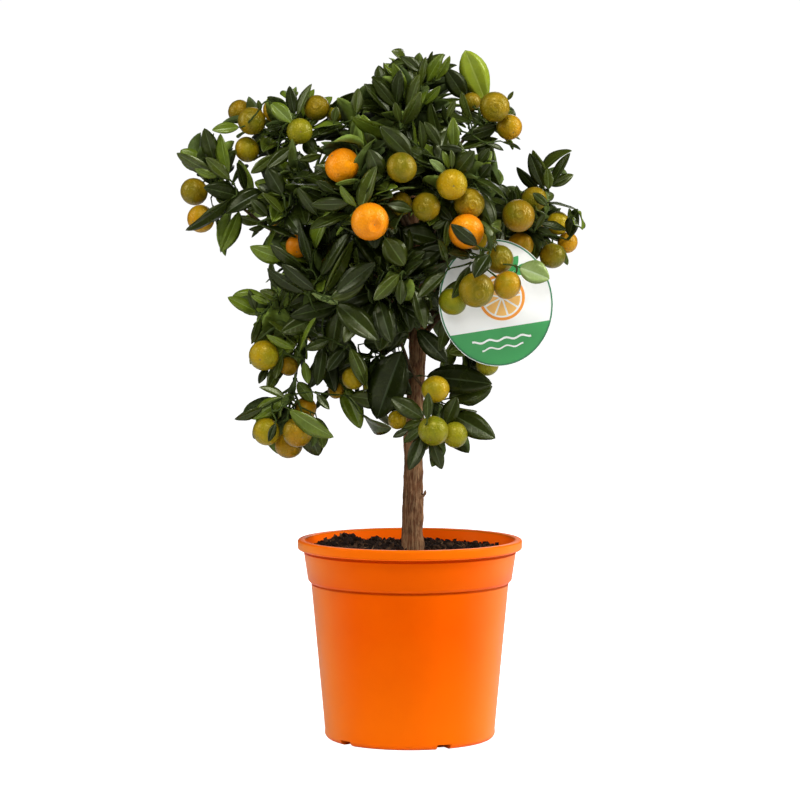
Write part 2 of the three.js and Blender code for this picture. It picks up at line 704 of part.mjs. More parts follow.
// ---------------------------------------------------------------------------------------------
// Foliage: stem, shoots, fruit and leaves
// ---------------------------------------------------------------------------------------------

// A twig from one point to another that leaves along `heading` and bends to its tip. What grows
// out of its side is kept in `side`, and what closes its end in `end`.
function makeTwig(start, tip, heading, startRadius, endRadius) {
  const bend = start.clone().addScaledVector(heading, 0.5 * start.distanceTo(tip));
  const middle = start.clone().lerp(tip, 0.5).lerp(bend, TWIG.bend);
  const radii = [startRadius, (startRadius + endRadius) / 2, endRadius];
  const limb = makeLimb([start, middle, tip], radii);
  limb.slopes[0] = heading;
  return { ...limb, side: [], end: null };
}

// A leaf's widest part, as its left, keel and right corners round its axis.
function bellyCorners({ root, axis, face, length, width, thickness }) {
  const side = new THREE.Vector3().crossVectors(axis, face);
  const rise = LEAF.rise * width; // the blade is keeled: its edges stand above its midrib
  const corner = (across, over) => root.clone().addScaledVector(axis, LEAF.bellyShare * length)
    .addScaledVector(side, across).addScaledVector(face, over);
  return [corner(width / 2, rise), corner(0, -thickness), corner(-width / 2, rise)];
}

const leafTip = (leaf) => leaf.root.clone().addScaledVector(leaf.axis, leaf.length);

function addLeaf(surface, opening, leaf) {
  const belly = surface.ring(bellyCorners(leaf));
  surface.bridge(opening, belly);
  surface.close(belly, leafTip(leaf));
}

// A fruit as a slightly flattened ball on the end of its stalk.
function addFruit(surface, opening, { root, centre, radius }) {
  const heading = centre.clone().sub(root).normalize();
  const around = squareTo(heading);
  const level = (turn) => centre.clone()
    .addScaledVector(heading, -FRUIT.flatness * radius * Math.cos(turn));
  const sunk = level(0).addScaledVector(heading, FRUIT.dimple);
  const neck = surface.ring(ringCorners(
    { point: sunk, heading, radius: TWIG.stalkRadius }, TWIG.sides, around));
  surface.bridge(opening, neck);
  let last = neck;
  for (let i = 1; i < FRUIT.rings; i++) {
    const turn = (Math.PI * i) / FRUIT.rings;
    const ring = surface.ring(ringCorners(
      { point: level(turn), heading, radius: radius * Math.sin(turn) }, FRUIT.segments, around));
    if (i === 1) surface.bridge(last, ring);
    else surface.join(last, ring);
    last = ring;
  }
  surface.close(last, level(Math.PI));
}

// A three-sided twig out of an opening, with what grows on it. Whatever grows out of its side does
// so through the side of the twig that faces it.
function addTwig(surface, opening, twig) {
  const half = TWIG.rootHeight / 2 / twig.length;
  const ringAt = (share, toward) => surface.ring(ringCorners(limbAt(twig, share), TWIG.sides, toward));
  let last = opening;
  for (const organ of twig.side.sort((one, other) => one.share - other.share)) {
    const below = ringAt(organ.share - half, organ.across);
    const above = ringAt(organ.share + half, organ.across);
    surface.bridge(last, below);
    surface.join(below, above, 0);
    organ.add(surface, [below[0], below[1], above[1], above[0]]);
    last = above;
  }
  const ring = ringAt(1, twig.end?.across ?? squareTo(limbAt(twig, 1).heading));
  surface.bridge(last, ring);
  if (twig.end) twig.end.add(surface, ring);
  else surface.cap(ring, true);
}

// Solids to try a place with: each is left out near its own root, and grown by a margin. A leaf's
// edges run at a slant, so they are moved out twice as far.
function leafProbe(leaf, footShare, margin) {
  const surface = new Surface();
  const grown = {
    ...leaf,
    root: leaf.root.clone().addScaledVector(leaf.face, margin),
    length: leaf.length + 2 * margin,
    width: leaf.width + 2 * 2 * margin,
    thickness: leaf.thickness + 2 * margin,
  };
  const point = leaf.root.clone().addScaledVector(leaf.axis, footShare * leaf.length);
  const ring = surface.ring(ringCorners(
    { point, heading: leaf.axis, radius: leaf.thickness + margin }, TWIG.sides, leaf.face));
  surface.cap(ring, false);
  addLeaf(surface, ring, grown);
  return solidFrom(surface.geometry());
}

function twigProbe(twig, foot, margin) {
  const surface = new Surface();
  const shares = [foot / twig.length, ...TWIG_PROBE_SHARES];
  const around = squareTo(limbAt(twig, 0).heading);
  const rings = shares.map((share) => {
    const at = limbAt(twig, share);
    return surface.ring(ringCorners({ ...at, radius: at.radius + margin }, TWIG.sides, around));
  });
  surface.cap(rings[0], false);
  rings.slice(1).forEach((ring, i) => surface.bridge(rings[i], ring));
  surface.cap(rings[rings.length - 1], true);
  return solidFrom(surface.geometry());
}

function ballProbe({ centre, radius }, margin) {
  const ball = new THREE.SphereGeometry(radius + margin, ...BALL_PROBE_FACETS);
  return solidFrom(ball.translate(...centre));
}

const nodeName = (mass) => 'foliage_' + mass.name;
const fruitOf = (mass) => mass.fruit.map(([x, y, z, radius]) => ({ centre: vector([x, y, z]), radius }));

// The stem: from just past its bough's tip, or the trunk's, to the heart of the mass.
function growStem(mass) {
  const { point, heading } = limbAt(limbs.get(mass.name) ?? limbs.get('trunk'), 1);
  const start = point.addScaledVector(heading, CLEARANCE);
  const heart = vector(mass.centre).lerp(start, STEM.shortBy);
  return makeTwig(start, heart, heading, TWIG.stemRadius, TWIG.shootRadius);
}

// A shoot out of the stem's side at a share of its length, with its end at a given place.
function makeShoot(stem, share, end) {
  const base = limbAt(stem, share);
  const away = end.clone().sub(base.point).normalize();
  const across = squareShare(away, base.heading);
  const angle = Math.max(STEM.leastFork, base.heading.angleTo(away));
  const heading = slanted(base.heading, across, angle);
  const shoot = makeTwig(base.point, end, heading, TWIG.shootRadius, TWIG.tipRadius);
  shoot.add = (surface, opening) => addTwig(surface, opening, shoot);
  return Object.assign(shoot, { share, across });
}

// The shares of the stem's length that a shoot tries, from its own place on.
function forkShares(share) {
  const [first, last] = STEM.forks;
  return STEM.forkShifts.map((shift) => share + shift).filter((s) => s > first && s < last);
}

// Shoots whose end leaf reaches for a tip of the mass, with that leaf at a few sizes and rolls.
function* offerReachingShoots(mass, stem, target, random) {
  const whole = LEAF.length * mass.leaf * random(...REACHING.spread);
  const wish = wishedFace(target, random);
  for (const size of REACHING.sizes) {
    for (const share of forkShares(random(...REACHING.forks))) {
      const root = limbAt(stem, share).point;
      const length = whole * size;
      const end = target.clone().addScaledVector(target.clone().sub(root).normalize(), -length);
      const shoot = makeShoot(stem, share, end);
      const axis = target.clone().sub(end).normalize();
      for (const roll of REACHING.rolls) {
        const face = squareShare(wish, axis).applyAxisAngle(axis, roll);
        yield { shoot, endLeaf: makeLeaf(shoot, 1, axis, face, length, LEAF.widthShare * length) };
      }
    }
  }
}

// Shoots that fan out, a golden angle apart, over the side of the mass that `aim` faces, each
// offered at a few turns about it.
function* offerFanShoots(mass, stem, rank, random) {
  const aim = vector(mass.aim).normalize();
  const polar = Math.acos(1 - (FAN.spread * (rank + 0.5)) / mass.shoots);
  const turn = rank * GOLDEN_ANGLE + random(-FAN.turnSpread, FAN.turnSpread);
  const reach = random(...FAN.reach);
  const firstShare = THREE.MathUtils.lerp(...FAN.forks, rank / mass.shoots);
  for (const more of FAN.turns) {
    const across = squareTo(aim).applyAxisAngle(aim, turn + more);
    const end = slanted(aim, across, polar).multiply(vector(mass.size)).multiplyScalar(reach);
    end.add(vector(mass.centre));
    for (const share of forkShares(firstShare)) {
      yield { shoot: makeShoot(stem, share, end), endLeaf: null };
    }
  }
}

// The way that a leaf at a place would like to face: outward and somewhat up, but never quite.
function wishedFace(place, random) {
  const aside = () => random(-FACING.random, FACING.random);
  const outward = place.clone().sub(CROWN_HEART).normalize();
  return new THREE.Vector3(aside(), aside(), random(0, FACING.up))
    .addScaledVector(outward, FACING.outward);
}

function makeLeaf(shoot, share, axis, face, length, width) {
  const base = limbAt(shoot, share);
  const leaf = { root: base.point, axis, face, length, width, thickness: LEAF.thickness };
  const add = (surface, opening) => addLeaf(surface, opening, leaf);
  return { ...leaf, share, across: squareShare(axis, base.heading), add };
}

// The leaves of one shoot, alternate up its outer part, with one at its end: from the end back, as
// the outer ones go first. Each is offered at a few turns about the shoot.
function offerLeaves(mass, shoot, random) {
  const count = Math.max(LEAF.leastCount, Math.round(shoot.length / LEAF.spacing) + 1);
  const offered = Array.from({ length: count }, (_, j) => {
    const atEnd = j === count - 1;
    const share = atEnd ? 1 : THREE.MathUtils.lerp(...LEAF.leafy, j / (count - 2));
    const base = limbAt(shoot, share);
    const pitch = random(...(atEnd ? LEAF.endPitch : LEAF.pitch));
    const turn = j * GOLDEN_ANGLE + random(-LEAF.turnSpread, LEAF.turnSpread);
    const length = LEAF.length * mass.leaf * random(...LEAF.lengthSpread);
    const width = LEAF.widthShare * length * random(...LEAF.widthSpread);
    const wish = wishedFace(base.point, random);
    return Array.from({ length: LEAF.tries }, (__, n) => {
      const about = turn + n * LEAF.tryTurn;
      const across = squareTo(base.heading).applyAxisAngle(base.heading, about);
      const axis = slanted(base.heading, across, pitch).addScaledVector(UP, -LEAF.droop).normalize();
      return makeLeaf(shoot, share, axis, squareShare(wish, axis), length, width);
    });
  });
  return offered.reverse();
}

// Whether a leaf stays in the space of its mass: its tip is within the half-widths and a little over.
function keepsToSpace(mass, leaf) {
  const tip = leafTip(leaf).sub(vector(mass.centre));
  const [sx, sy, sz] = mass.size.map((half) => half + LEAF.reachOver);
  return Math.hypot(tip.x / sx, tip.y / sy, tip.z / sz) < 1;
}

// Whether nothing else grows out of a twig's side within `gap` of a share of its length.
function hasRoom(twig, share, gap) {
  return twig.side.every((organ) => Math.abs(organ.share - share) * twig.length > gap);
}

// Hangs a fruit on the nearest free point of the twigs that leaves its stalk clear of the rest.
function hangFruit(fruit, twigs, isClear) {
  const roots = twigs.flatMap((twig) => FRUIT.rootShares.map(
    (share) => ({ twig, share, ...limbAt(twig, share) })));
  const distance = ({ point }) => point.distanceTo(fruit.centre);
  roots.sort((one, other) => distance(one) - distance(other));
  for (const { twig, share, point, heading } of roots) {
    const away = fruit.centre.clone().sub(point).normalize();
    const slant = heading.angleTo(away);
    const slants = slant > FRUIT.leastSlant && slant < Math.PI - FRUIT.leastSlant;
    if (!slants || !hasRoom(twig, share, 2 * TWIG.rootHeight)) continue;
    const end = fruit.centre.clone().addScaledVector(away, FRUIT.stalkShort - fruit.radius);
    const stalk = makeLimb([point, end], [TWIG.stalkRadius, TWIG.stalkRadius]);
    const probe = twigProbe(stalk, FRUIT.stalkFoot, 0);
    if (!isClear(probe)) continue;
    const add = (surface, opening) => addFruit(surface, opening, { ...fruit, root: point });
    twig.side.push({ share, across: squareShare(away, heading), add });
    return probe;
  }
  throw new Error(`no stalk reaches the fruit at ${fruit.centre.toArray()}`);
}

function growMass(mass, seed) {
  const owner = nodeName(mass);
  const random = makeRandom(seed);
  const isOwn = (other) => other.owner === owner;
  const clearOfOwn = (solid) => !runsInto(solid, isOwn);
  const clearOfOthers = (solid) => !runsInto(solid, (other) => !isOwn(other));
  const leafFits = (leaf) => clearOfOwn(leafProbe(leaf, LEAF.footShare, 0))
    && clearOfOthers(leafProbe(leaf, 0, FACET_GAP));
  const shootFits = (shoot) => clearOfOwn(twigProbe(shoot, STEM.shootFoot, 0))
    && clearOfOthers(twigProbe(shoot, 0, 3 * CLEARANCE));

  const stem = growStem(mass);
  place(owner, twigProbe(stem, 0, 0));
  const shoots = [];
  const growShoot = (offers) => {
    for (const { shoot, endLeaf } of offers) {
      const fits = hasRoom(stem, shoot.share, STEM.forkGap) && (!endLeaf || leafFits(endLeaf));
      if (!fits || !shootFits(shoot)) continue;
      place(owner, twigProbe(shoot, STEM.shootFoot, 0));
      if (endLeaf) place(owner, leafProbe(endLeaf, LEAF.footShare, 0));
      shoot.end = endLeaf;
      shoots.push(shoot);
      stem.side.push(shoot);
      return;
    }
  };
  for (const tip of mass.tips) growShoot(offerReachingShoots(mass, stem, vector(tip), random));
  for (let rank = 0; rank < mass.shoots; rank++) growShoot(offerFanShoots(mass, stem, rank, random));

  const fruits = fruitOf(mass);
  fruits.forEach((fruit, i) => {
    const balls = fruits.filter((_, k) => k !== i).map((other) => ballProbe(other, FACET_GAP));
    const isClear = (probe) => clearOfOthers(probe)
      && balls.every((ball) => ball.intersect(probe).isEmpty());
    place(owner, hangFruit(fruit, [...shoots, stem], isClear));
  });

  for (const shoot of shoots) {
    for (const offers of offerLeaves(mass, shoot, random)) {
      const atEnd = offers[0].share === 1;
      if (atEnd ? shoot.end : !hasRoom(shoot, offers[0].share, TWIG.rootHeight)) continue;
      const leaf = offers.find((offer) => keepsToSpace(mass, offer) && leafFits(offer));
      if (!leaf) continue;
      place(owner, leafProbe(leaf, LEAF.footShare, 0));
      if (atEnd) shoot.end = leaf;
      else shoot.side.push(leaf);
    }
  }

  const surface = new Surface();
  const first = limbAt(stem, 0);
  const ring = surface.ring(ringCorners(first, TWIG.sides, squareTo(first.heading)));
  surface.cap(ring, false);
  addTwig(surface, ring, stem);
  const geometry = geometryFrom(solidFrom(surface.geometry()));
  placed.splice(0, placed.length, ...placed.filter((other) => !isOwn(other)));
  place(owner, solidFrom(geometry));
  return geometry;
}

// The fruit's places are kept free before anything grows.
for (const mass of MASSES) {
  fruitOf(mass).forEach((fruit) => place(nodeName(mass), ballProbe(fruit, FACET_GAP)));
}
MASSES.forEach((mass, i) => {
  addMesh(nodeName(mass), growMass(mass, SEED + SEED_STEP * i), MATERIALS.foliage);
});

export default tree;
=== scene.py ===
# %% [markdown]
# # A calamondin orange tree in its pot
# This lesson dresses a small citrus tree. Its solids were worked out before and come in as a
# fixed frame: pot, soil, trunk, boughs, masses of foliage and a hanging label. Here each of them
# gets its looks. The pot, soil, trunk and label are modelled by hand with operators, and the
# crown is grown by the rule that made its solids, carried on to finer twigs and real leaves.

# %% Load the frame
import math
import bpy
import numpy as np
from mathutils import Matrix, Vector, noise
from mathutils.bvhtree import BVHTree


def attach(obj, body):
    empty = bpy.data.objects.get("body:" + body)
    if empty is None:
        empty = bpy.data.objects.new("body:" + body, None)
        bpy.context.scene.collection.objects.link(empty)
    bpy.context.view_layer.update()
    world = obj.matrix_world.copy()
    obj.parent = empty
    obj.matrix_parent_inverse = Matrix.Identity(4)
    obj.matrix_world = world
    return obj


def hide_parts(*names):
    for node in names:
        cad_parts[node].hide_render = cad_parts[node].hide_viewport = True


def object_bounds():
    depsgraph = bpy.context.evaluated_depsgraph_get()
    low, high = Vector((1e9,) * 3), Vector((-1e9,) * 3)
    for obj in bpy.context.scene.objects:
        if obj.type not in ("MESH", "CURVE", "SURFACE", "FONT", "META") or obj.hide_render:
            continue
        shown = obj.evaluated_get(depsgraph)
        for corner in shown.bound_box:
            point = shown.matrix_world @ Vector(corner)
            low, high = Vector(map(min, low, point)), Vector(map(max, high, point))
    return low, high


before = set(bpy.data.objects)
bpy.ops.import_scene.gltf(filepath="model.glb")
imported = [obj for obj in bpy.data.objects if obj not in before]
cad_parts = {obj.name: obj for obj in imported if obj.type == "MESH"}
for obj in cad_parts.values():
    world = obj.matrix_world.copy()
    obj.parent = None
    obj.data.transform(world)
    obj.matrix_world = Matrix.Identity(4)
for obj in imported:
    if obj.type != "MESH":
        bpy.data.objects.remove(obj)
CAD_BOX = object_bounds()
MM = 0.001  # every size below is in millimetres, and Blender's are in metres
TURN = 2 * math.pi
GOLDEN_ANGLE = math.pi * (3 - math.sqrt(5))
print("solids:", len(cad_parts), "box in mm:", [[round(c / MM) for c in p] for p in CAD_BOX])

# %% [markdown]
# ## Camera, floor and light
# A long lens from three metres away keeps the pot's sides nearly straight. Two tall soft boxes
# stand left and right, so the pot is brightest along both its edges, together with a sheen painted
# into its plastic there. Others hang over the crown and near the camera, and a weak one behind
# keeps the back from going dark. The floor is a plain pale disc that is lit like the room's walls.

# %% Camera
CAMERA_PLACE = (-10, -2950, 500)
CAMERA_PITCH = 3.544  # degrees down from level
SCENE = bpy.context.scene

bpy.ops.object.camera_add(
    location=[c * MM for c in CAMERA_PLACE], rotation=(math.radians(90 - CAMERA_PITCH), 0, 0))
camera = bpy.context.object
camera.data.lens = 142.5
camera.data.shift_x = 0.001
camera.data.shift_y = -0.0004
camera.data.clip_end = 50
SCENE.camera = camera
SCENE.view_settings.view_transform = "Standard"
print("lens in mm:", camera.data.lens)

# %% Light and floor
LIGHTS = {  # place and size in metres, watts
    "light_left": {"place": (-1.6, -0.3, 1.15), "size": (0.5, 1.2), "power": 13},
    "light_right": {"place": (1.6, -0.3, 1.2), "size": (0.5, 1.2), "power": 33},
    "light_top": {"place": (0.1, -1.3, 2.1), "size": (0.7, 0.5), "power": 28},
    "light_front": {"place": (-0.3, -2.6, 1.2), "size": (0.7, 0.7), "power": 14},
    "light_back": {"place": (0.4, 2.3, 1.3), "size": (1.2, 0.8), "power": 9},
}
LIT_POINT = Vector((0, 0, 0.38))
FLOOR_RADIUS = 14
ROOM_LIGHT = 0.05  # what the dim studio adds from all sides
SEEN_WHITE = 1.02  # how bright the lit backdrop is to the camera
WHITE = (1, 1, 1, 1)


def plain(name, colour, roughness):
    """A Principled material with plain values, for a start."""
    material = bpy.data.materials.new(name)
    material.use_nodes = True
    shader = material.node_tree.nodes["Principled BSDF"]
    shader.inputs["Base Color"].default_value = colour
    shader.inputs["Roughness"].default_value = roughness
    return material, shader


def seen_strength(tree, other):
    """A strength that is the backdrop's white to the camera, and `other` to everything else."""
    ray = tree.nodes.new("ShaderNodeLightPath")
    mix = tree.nodes.new("ShaderNodeMapRange")
    mix.inputs["To Min"].default_value = other
    mix.inputs["To Max"].default_value = SEEN_WHITE
    tree.links.new(ray.outputs["Is Camera Ray"], mix.inputs["Value"])
    return mix.outputs["Result"]


for name, light in LIGHTS.items():
    bpy.ops.object.light_add(type="AREA", location=light["place"])
    lamp = bpy.context.object
    lamp.name = name
    lamp.data.shape = "RECTANGLE"
    lamp.data.size, lamp.data.size_y = light["size"]
    lamp.data.energy = light["power"]
    lamp.rotation_euler = (LIT_POINT - lamp.location).to_track_quat("-Z", "Y").to_euler()

world = bpy.data.worlds.new("studio")
SCENE.world = world
world.use_nodes = True
background = world.node_tree.nodes["Background"]
background.inputs["Color"].default_value = WHITE
world.node_tree.links.new(
    seen_strength(world.node_tree, ROOM_LIGHT), background.inputs["Strength"])

bpy.ops.mesh.primitive_circle_add(vertices=96, radius=FLOOR_RADIUS, fill_type="NGON")
floor = bpy.context.object
floor.name = "floor"
floor_paint, floor_shader = plain("floor_paint", (0.85, 0.85, 0.85, 1), 0.9)
floor_shader.inputs["Emission Color"].default_value = WHITE
floor_paint.node_tree.links.new(
    seen_strength(floor_paint.node_tree, 0), floor_shader.inputs["Emission Strength"])
floor.data.materials.append(floor_paint)
print("lamps:", len(LIGHTS))

# %% [markdown]
# ## Shader groups
# An effect that several finishes share is made once, as a node group with named inputs and
# outputs: patches of two colours, fine pores, stretched fibres and the veins of a leaf. Each
# material then places the group with its own values. A group gives only colours and heights, and
# the Principled shader stays in the material.


# %% Helpers for nodes
NUMBER, COLOUR = "NodeSocketFloat", "NodeSocketColor"
SMOOTH = {"interpolation_type": "SMOOTHSTEP"}


def feed(tree, into, value):
    """Sets an input to a value, or links another node's output to it."""
    if isinstance(value, bpy.types.NodeSocket):
        tree.links.new(value, into)
    else:
        into.default_value = value


def node(tree, kind, *ordered, **named):
    """A new node. The values go to its inputs, in their order or by name, and a name in lower
    case is one of its settings."""
    made = tree.nodes.new("ShaderNode" + kind)
    for label, value in named.items():
        if label.islower():
            setattr(made, label, value)
        else:
            feed(tree, made.inputs[label.replace("_", " ")], value)
    for into, value in zip(made.inputs, ordered):
        feed(tree, into, value)
    return made


def place_in(tree):
    """The place on the piece, in its own axes."""
    return node(tree, "TexCoord").outputs["Object"]


def cloudy(tree, **values):
    """Noise over the piece."""
    return node(tree, "TexNoise", Vector=place_in(tree), **values).outputs["Fac"]


def maths(tree, operation, *values):
    return node(tree, "Math", *values, operation=operation).outputs[0]


def share_of(tree, value, low, high, first=0.0, last=1.0, **settings):
    """Gives `first` where a value is below `low`, `last` where it is above `high`, and runs from
    one to the other between them."""
    return node(tree, "MapRange", value, low, high, first, last, **settings).outputs[0]


def blend(tree, share, first, second):
    """The first colour, with the second laid over it by a share."""
    made = node(tree, "Mix", share, data_type="RGBA")
    feed(tree, made.inputs[6], first)
    feed(tree, made.inputs[7], second)
    return made.outputs[2]


def rgb(code, dim=1.0):
    """A hex colour as the linear numbers that shaders use, dimmed if wanted."""
    parts = [int(code[i:i + 2], 16) / 255 for i in (0, 2, 4)]
    parts = [p / 12.92 if p <= 0.04045 else ((p + 0.055) / 1.055) ** 2.4 for p in parts]
    return (*[p * dim for p in parts], 1)


def new_group(name, inputs, outputs):
    """An empty shader group, the values that come into it, and its outputs to be fed."""
    group = bpy.data.node_groups.new(name, "ShaderNodeTree")
    for label, value in inputs.items():
        kind = COLOUR if isinstance(value, tuple) else NUMBER
        group.interface.new_socket(label, in_out="INPUT", socket_type=kind).default_value = value
    for label in outputs:
        kind = COLOUR if label == "Colour" else NUMBER
        group.interface.new_socket(label, in_out="OUTPUT", socket_type=kind)
    start, end = group.nodes.new("NodeGroupInput"), group.nodes.new("NodeGroupOutput")
    return group, start.outputs, end.inputs


# %% Group: patches
def patches_group():
    """Patches of two colours, and the share of the second one."""
    group, start, end = new_group(
        "patches",
        {"First Colour": WHITE, "Second Colour": (0, 0, 0, 1), "Scale": 60.0, "Low": 0.35,
         "High": 0.65}, ("Colour", "Share"))
    cloud = cloudy(group, Scale=start["Scale"], Detail=3.0, Roughness=0.55)
    share = share_of(group, cloud, start["Low"], start["High"])
    feed(group, end["Colour"],
         blend(group, share, start["First Colour"], start["Second Colour"]))
    feed(group, end["Share"], share)
    return group


# %% Group: pores
def pores_group():
    """Small pits, as a height, and the pale dot in each, as a share. Larger clouds thin the dots
    out."""
    group, start, end = new_group(
        "pores", {"Scale": 900.0, "Size": 0.45, "Dot": 0.25}, ("Height", "Dots"))
    cells = node(group, "TexVoronoi", Vector=place_in(group), Scale=start["Scale"])
    away = cells.outputs["Distance"]
    dot = share_of(group, away, 0, start["Dot"], 1, 0, **SMOOTH)
    cloud = cloudy(group, Scale=160.0, Detail=1.0)
    feed(group, end["Height"], share_of(group, away, 0, start["Size"], **SMOOTH))
    feed(group, end["Dots"], maths(group, "MULTIPLY", dot, cloud))
    return group


# %% Group: fibres
def fibres_group():
    """Clouds drawn out along the height, as a height, and their pale streaks, as a share."""
    group, start, end = new_group(
        "fibres", {"Scale": 700.0, "Stretch": 0.09, "Roughness": 0.7}, ("Height", "Streak"))
    scale = node(group, "CombineXYZ", 1.0, 1.0, start["Stretch"]).outputs[0]
    drawn = node(group, "VectorMath", place_in(group), scale, operation="MULTIPLY").outputs[0]
    cloud = node(group, "TexNoise", Vector=drawn, Scale=start["Scale"], Detail=5.0,
                 Roughness=start["Roughness"]).outputs["Fac"]
    feed(group, end["Height"], cloud)
    feed(group, end["Streak"], share_of(group, cloud, 0.42, 0.66, **SMOOTH))
    return group


# %% Group: veins
def veins_group():
    """Side veins that leave the midrib at a slant, on the leaf's own map: along it, and across."""
    group, start, end = new_group("veins", {"Count": 8.0, "Slant": 0.3}, ("Vein",))
    leaf_map = node(group, "UVMap", uv_map="leaf").outputs["UV"]
    along, across, _ = node(group, "SeparateXYZ", leaf_map).outputs
    away = maths(group, "ABSOLUTE", maths(group, "SUBTRACT", across, 0.5))
    back = maths(group, "SUBTRACT", along, maths(group, "MULTIPLY", away, start["Slant"]))
    step = maths(group, "PINGPONG", maths(group, "MULTIPLY", back, start["Count"]), 0.5)
    feed(group, end["Vein"], share_of(group, step, 0, 0.14, 1, 0, **SMOOTH))
    return group


PATCHES, PORES, FIBRES, VEINS = patches_group(), pores_group(), fibres_group(), veins_group()
print("groups:", [g.name for g in bpy.data.node_groups])


# %% [markdown]
# ## Finishes
# Moulded plastic has a soft sheen, partly painted into its colour, and faint clouds from the mould.
# Peat is rough and uneven. Bark shows pale fibres along its length. A citrus leaf is dark and waxy
# above, dull and pale below, with a light midrib. The rind is full of small oil pores, and turns
# from olive to orange in patches. Every finish is a few groups on a Principled shader.


# %% Helpers: a finish of two colours, its gloss and its relief
def finish(name, first, second, roughness, scale=60.0, low=0.35, high=0.65, spread=0.0):
    """A material whose colour runs between two hex colours in patches. Its roughness runs from
    `roughness` to that plus `spread` over the same patches. Gives its tree, shader and colour
    with it."""
    material, shader = plain(name, rgb(first), roughness)
    tree = material.node_tree
    patch = node(tree, "Group", node_tree=PATCHES, First_Colour=rgb(first),
                 Second_Colour=rgb(second), Scale=scale, Low=low, High=high).outputs
    feed(tree, shader.inputs["Base Color"], patch["Colour"])
    if spread:
        rough = share_of(tree, patch["Share"], 0, 1, roughness, roughness + spread)
        feed(tree, shader.inputs["Roughness"], rough)
    return material, tree, shader, patch["Colour"]


def gloss(shader, level, tint=WHITE):
    """How strongly a surface mirrors light, and the colour it gives that light."""
    shader.inputs["Specular IOR Level"].default_value = level
    shader.inputs["Specular Tint"].default_value = tint


def relief(tree, shader, height, distance, strength=1.0):
    """Feeds a height into the shader's normal, `distance` deep in millimetres."""
    bump = node(tree, "Bump", Strength=strength, Distance=distance * MM, Height=height)
    feed(tree, shader.inputs["Normal"], bump.outputs["Normal"])


# %% [markdown]
# ### The pot's plastic
# The plastic is one orange, and the rest is painted light and shade in its colour: it is painted a
# little brighter near the foot, on the collar and on the rim, a pale painted sheen lies on its
# upright walls where they turn away, and painted shade, a dark brown, sits in the grooves. Its
# inner side has a faint painted red glow that stands in for light coming through the thin wall.
# Heights and the way a face looks tell these zones apart.

# %% Pot finish
# Painted light in the plastic's colour: a lit orange, a pale sheen and a red glow, and painted
# shade, a brown, for the grooves.
LIT_ORANGE, PAINTED_SHEEN_ORANGE, GROOVE_SHADE_BROWN, PAINTED_GLOW_RED = "FF8C14", "FFB050", "5A1400", "901E00"
PAINTED_LIGHT_ZONES = (  # a height in metres and the share of the painted lit orange there, twice each
    (0.02, 0.26, 0.11, 0), (0.140, 0, 0.147, 0.06), (0.1765, 0, 0.1785, 0.22))
GROOVE_HEIGHTS = (0.1757, 0.1458)
GROOVE_SHADE_SHARE, PAINTED_SHEEN_SHARE = 0.4, 0.32


def pot_plastic():
    material, tree, shader, colour = finish(
        "pot_plastic", "E95900", "E65500", 0.3, scale=25.0, low=0.3, high=0.7, spread=0.08)
    gloss(shader, 0.12, (1, 0.5, 0.03, 1))
    place = place_in(tree)
    height = node(tree, "SeparateXYZ", place).outputs["Z"]
    normal = node(tree, "NewGeometry").outputs["Normal"]
    level = maths(tree, "ABSOLUTE", node(tree, "SeparateXYZ", normal).outputs["Z"])
    upright = share_of(tree, level, 0.2, 0.5, 1, 0)
    outward = node(tree, "VectorMath", normal, place, operation="DOT_PRODUCT").outputs["Value"]
    inside = share_of(tree, outward, -0.07, -0.03, 1, 0)
    outside = share_of(tree, outward, 0.0, 0.05)
    # Painted light: a brighter orange near the foot, on the collar and on the rim.
    for low, first, high, last in PAINTED_LIGHT_ZONES:
        share = share_of(tree, height, low, high, first, last)
        colour = blend(tree, share, colour, rgb(LIT_ORANGE))
    # Painted sheen: a pale orange on the upright outer walls where they turn away from the view.
    facing = node(tree, "LayerWeight", Blend=0.5).outputs["Facing"]
    sheen = share_of(tree, facing, 0.15, 0.75, 0, PAINTED_SHEEN_SHARE, **SMOOTH)
    sheen = maths(tree, "MULTIPLY", maths(tree, "MULTIPLY", sheen, upright), outside)
    colour = blend(tree, sheen, colour, rgb(PAINTED_SHEEN_ORANGE))
    # Painted shade: a dark brown laid into the grooves under the collar and under the rim.
    for z in GROOVE_HEIGHTS:
        above = share_of(tree, height, z - 0.002, z - 0.001, 0, GROOVE_SHADE_SHARE)
        below = share_of(tree, height, z + 0.001, z + 0.002, 1, 0)
        groove = maths(tree, "MULTIPLY", maths(tree, "MULTIPLY", above, below), outside)
        colour = blend(tree, groove, colour, rgb(GROOVE_SHADE_BROWN))
    feed(tree, shader.inputs["Base Color"], colour)
    # Painted glow: the inner side of the wall gives off a faint red light, for light that comes
    # through the thin wall.
    feed(tree, shader.inputs["Emission Color"],
         blend(tree, inside, (0, 0, 0, 1), rgb(PAINTED_GLOW_RED)))
    shader.inputs["Emission Strength"].default_value = 1.0
    relief(tree, shader, cloudy(tree, Scale=1400.0, Detail=2.0), 0.05, 0.5)
    return material


POT_PLASTIC = pot_plastic()


# %% Soil and label finishes
def crumbly(name, first, second, depth):
    material, tree, shader, _ = finish(name, first, second, 0.86, scale=420.0, spread=0.12)
    gloss(shader, 0.12)
    relief(tree, shader, cloudy(tree, Scale=1600.0, Detail=6.0, Roughness=0.75), depth)
    return material


def card(name, colour):
    material, tree, shader, _ = finish(name, colour, colour, 0.38, scale=90.0, spread=0.08)
    relief(tree, shader, cloudy(tree, Scale=2200.0, Detail=1.0), 0.02, 0.4)
    return material


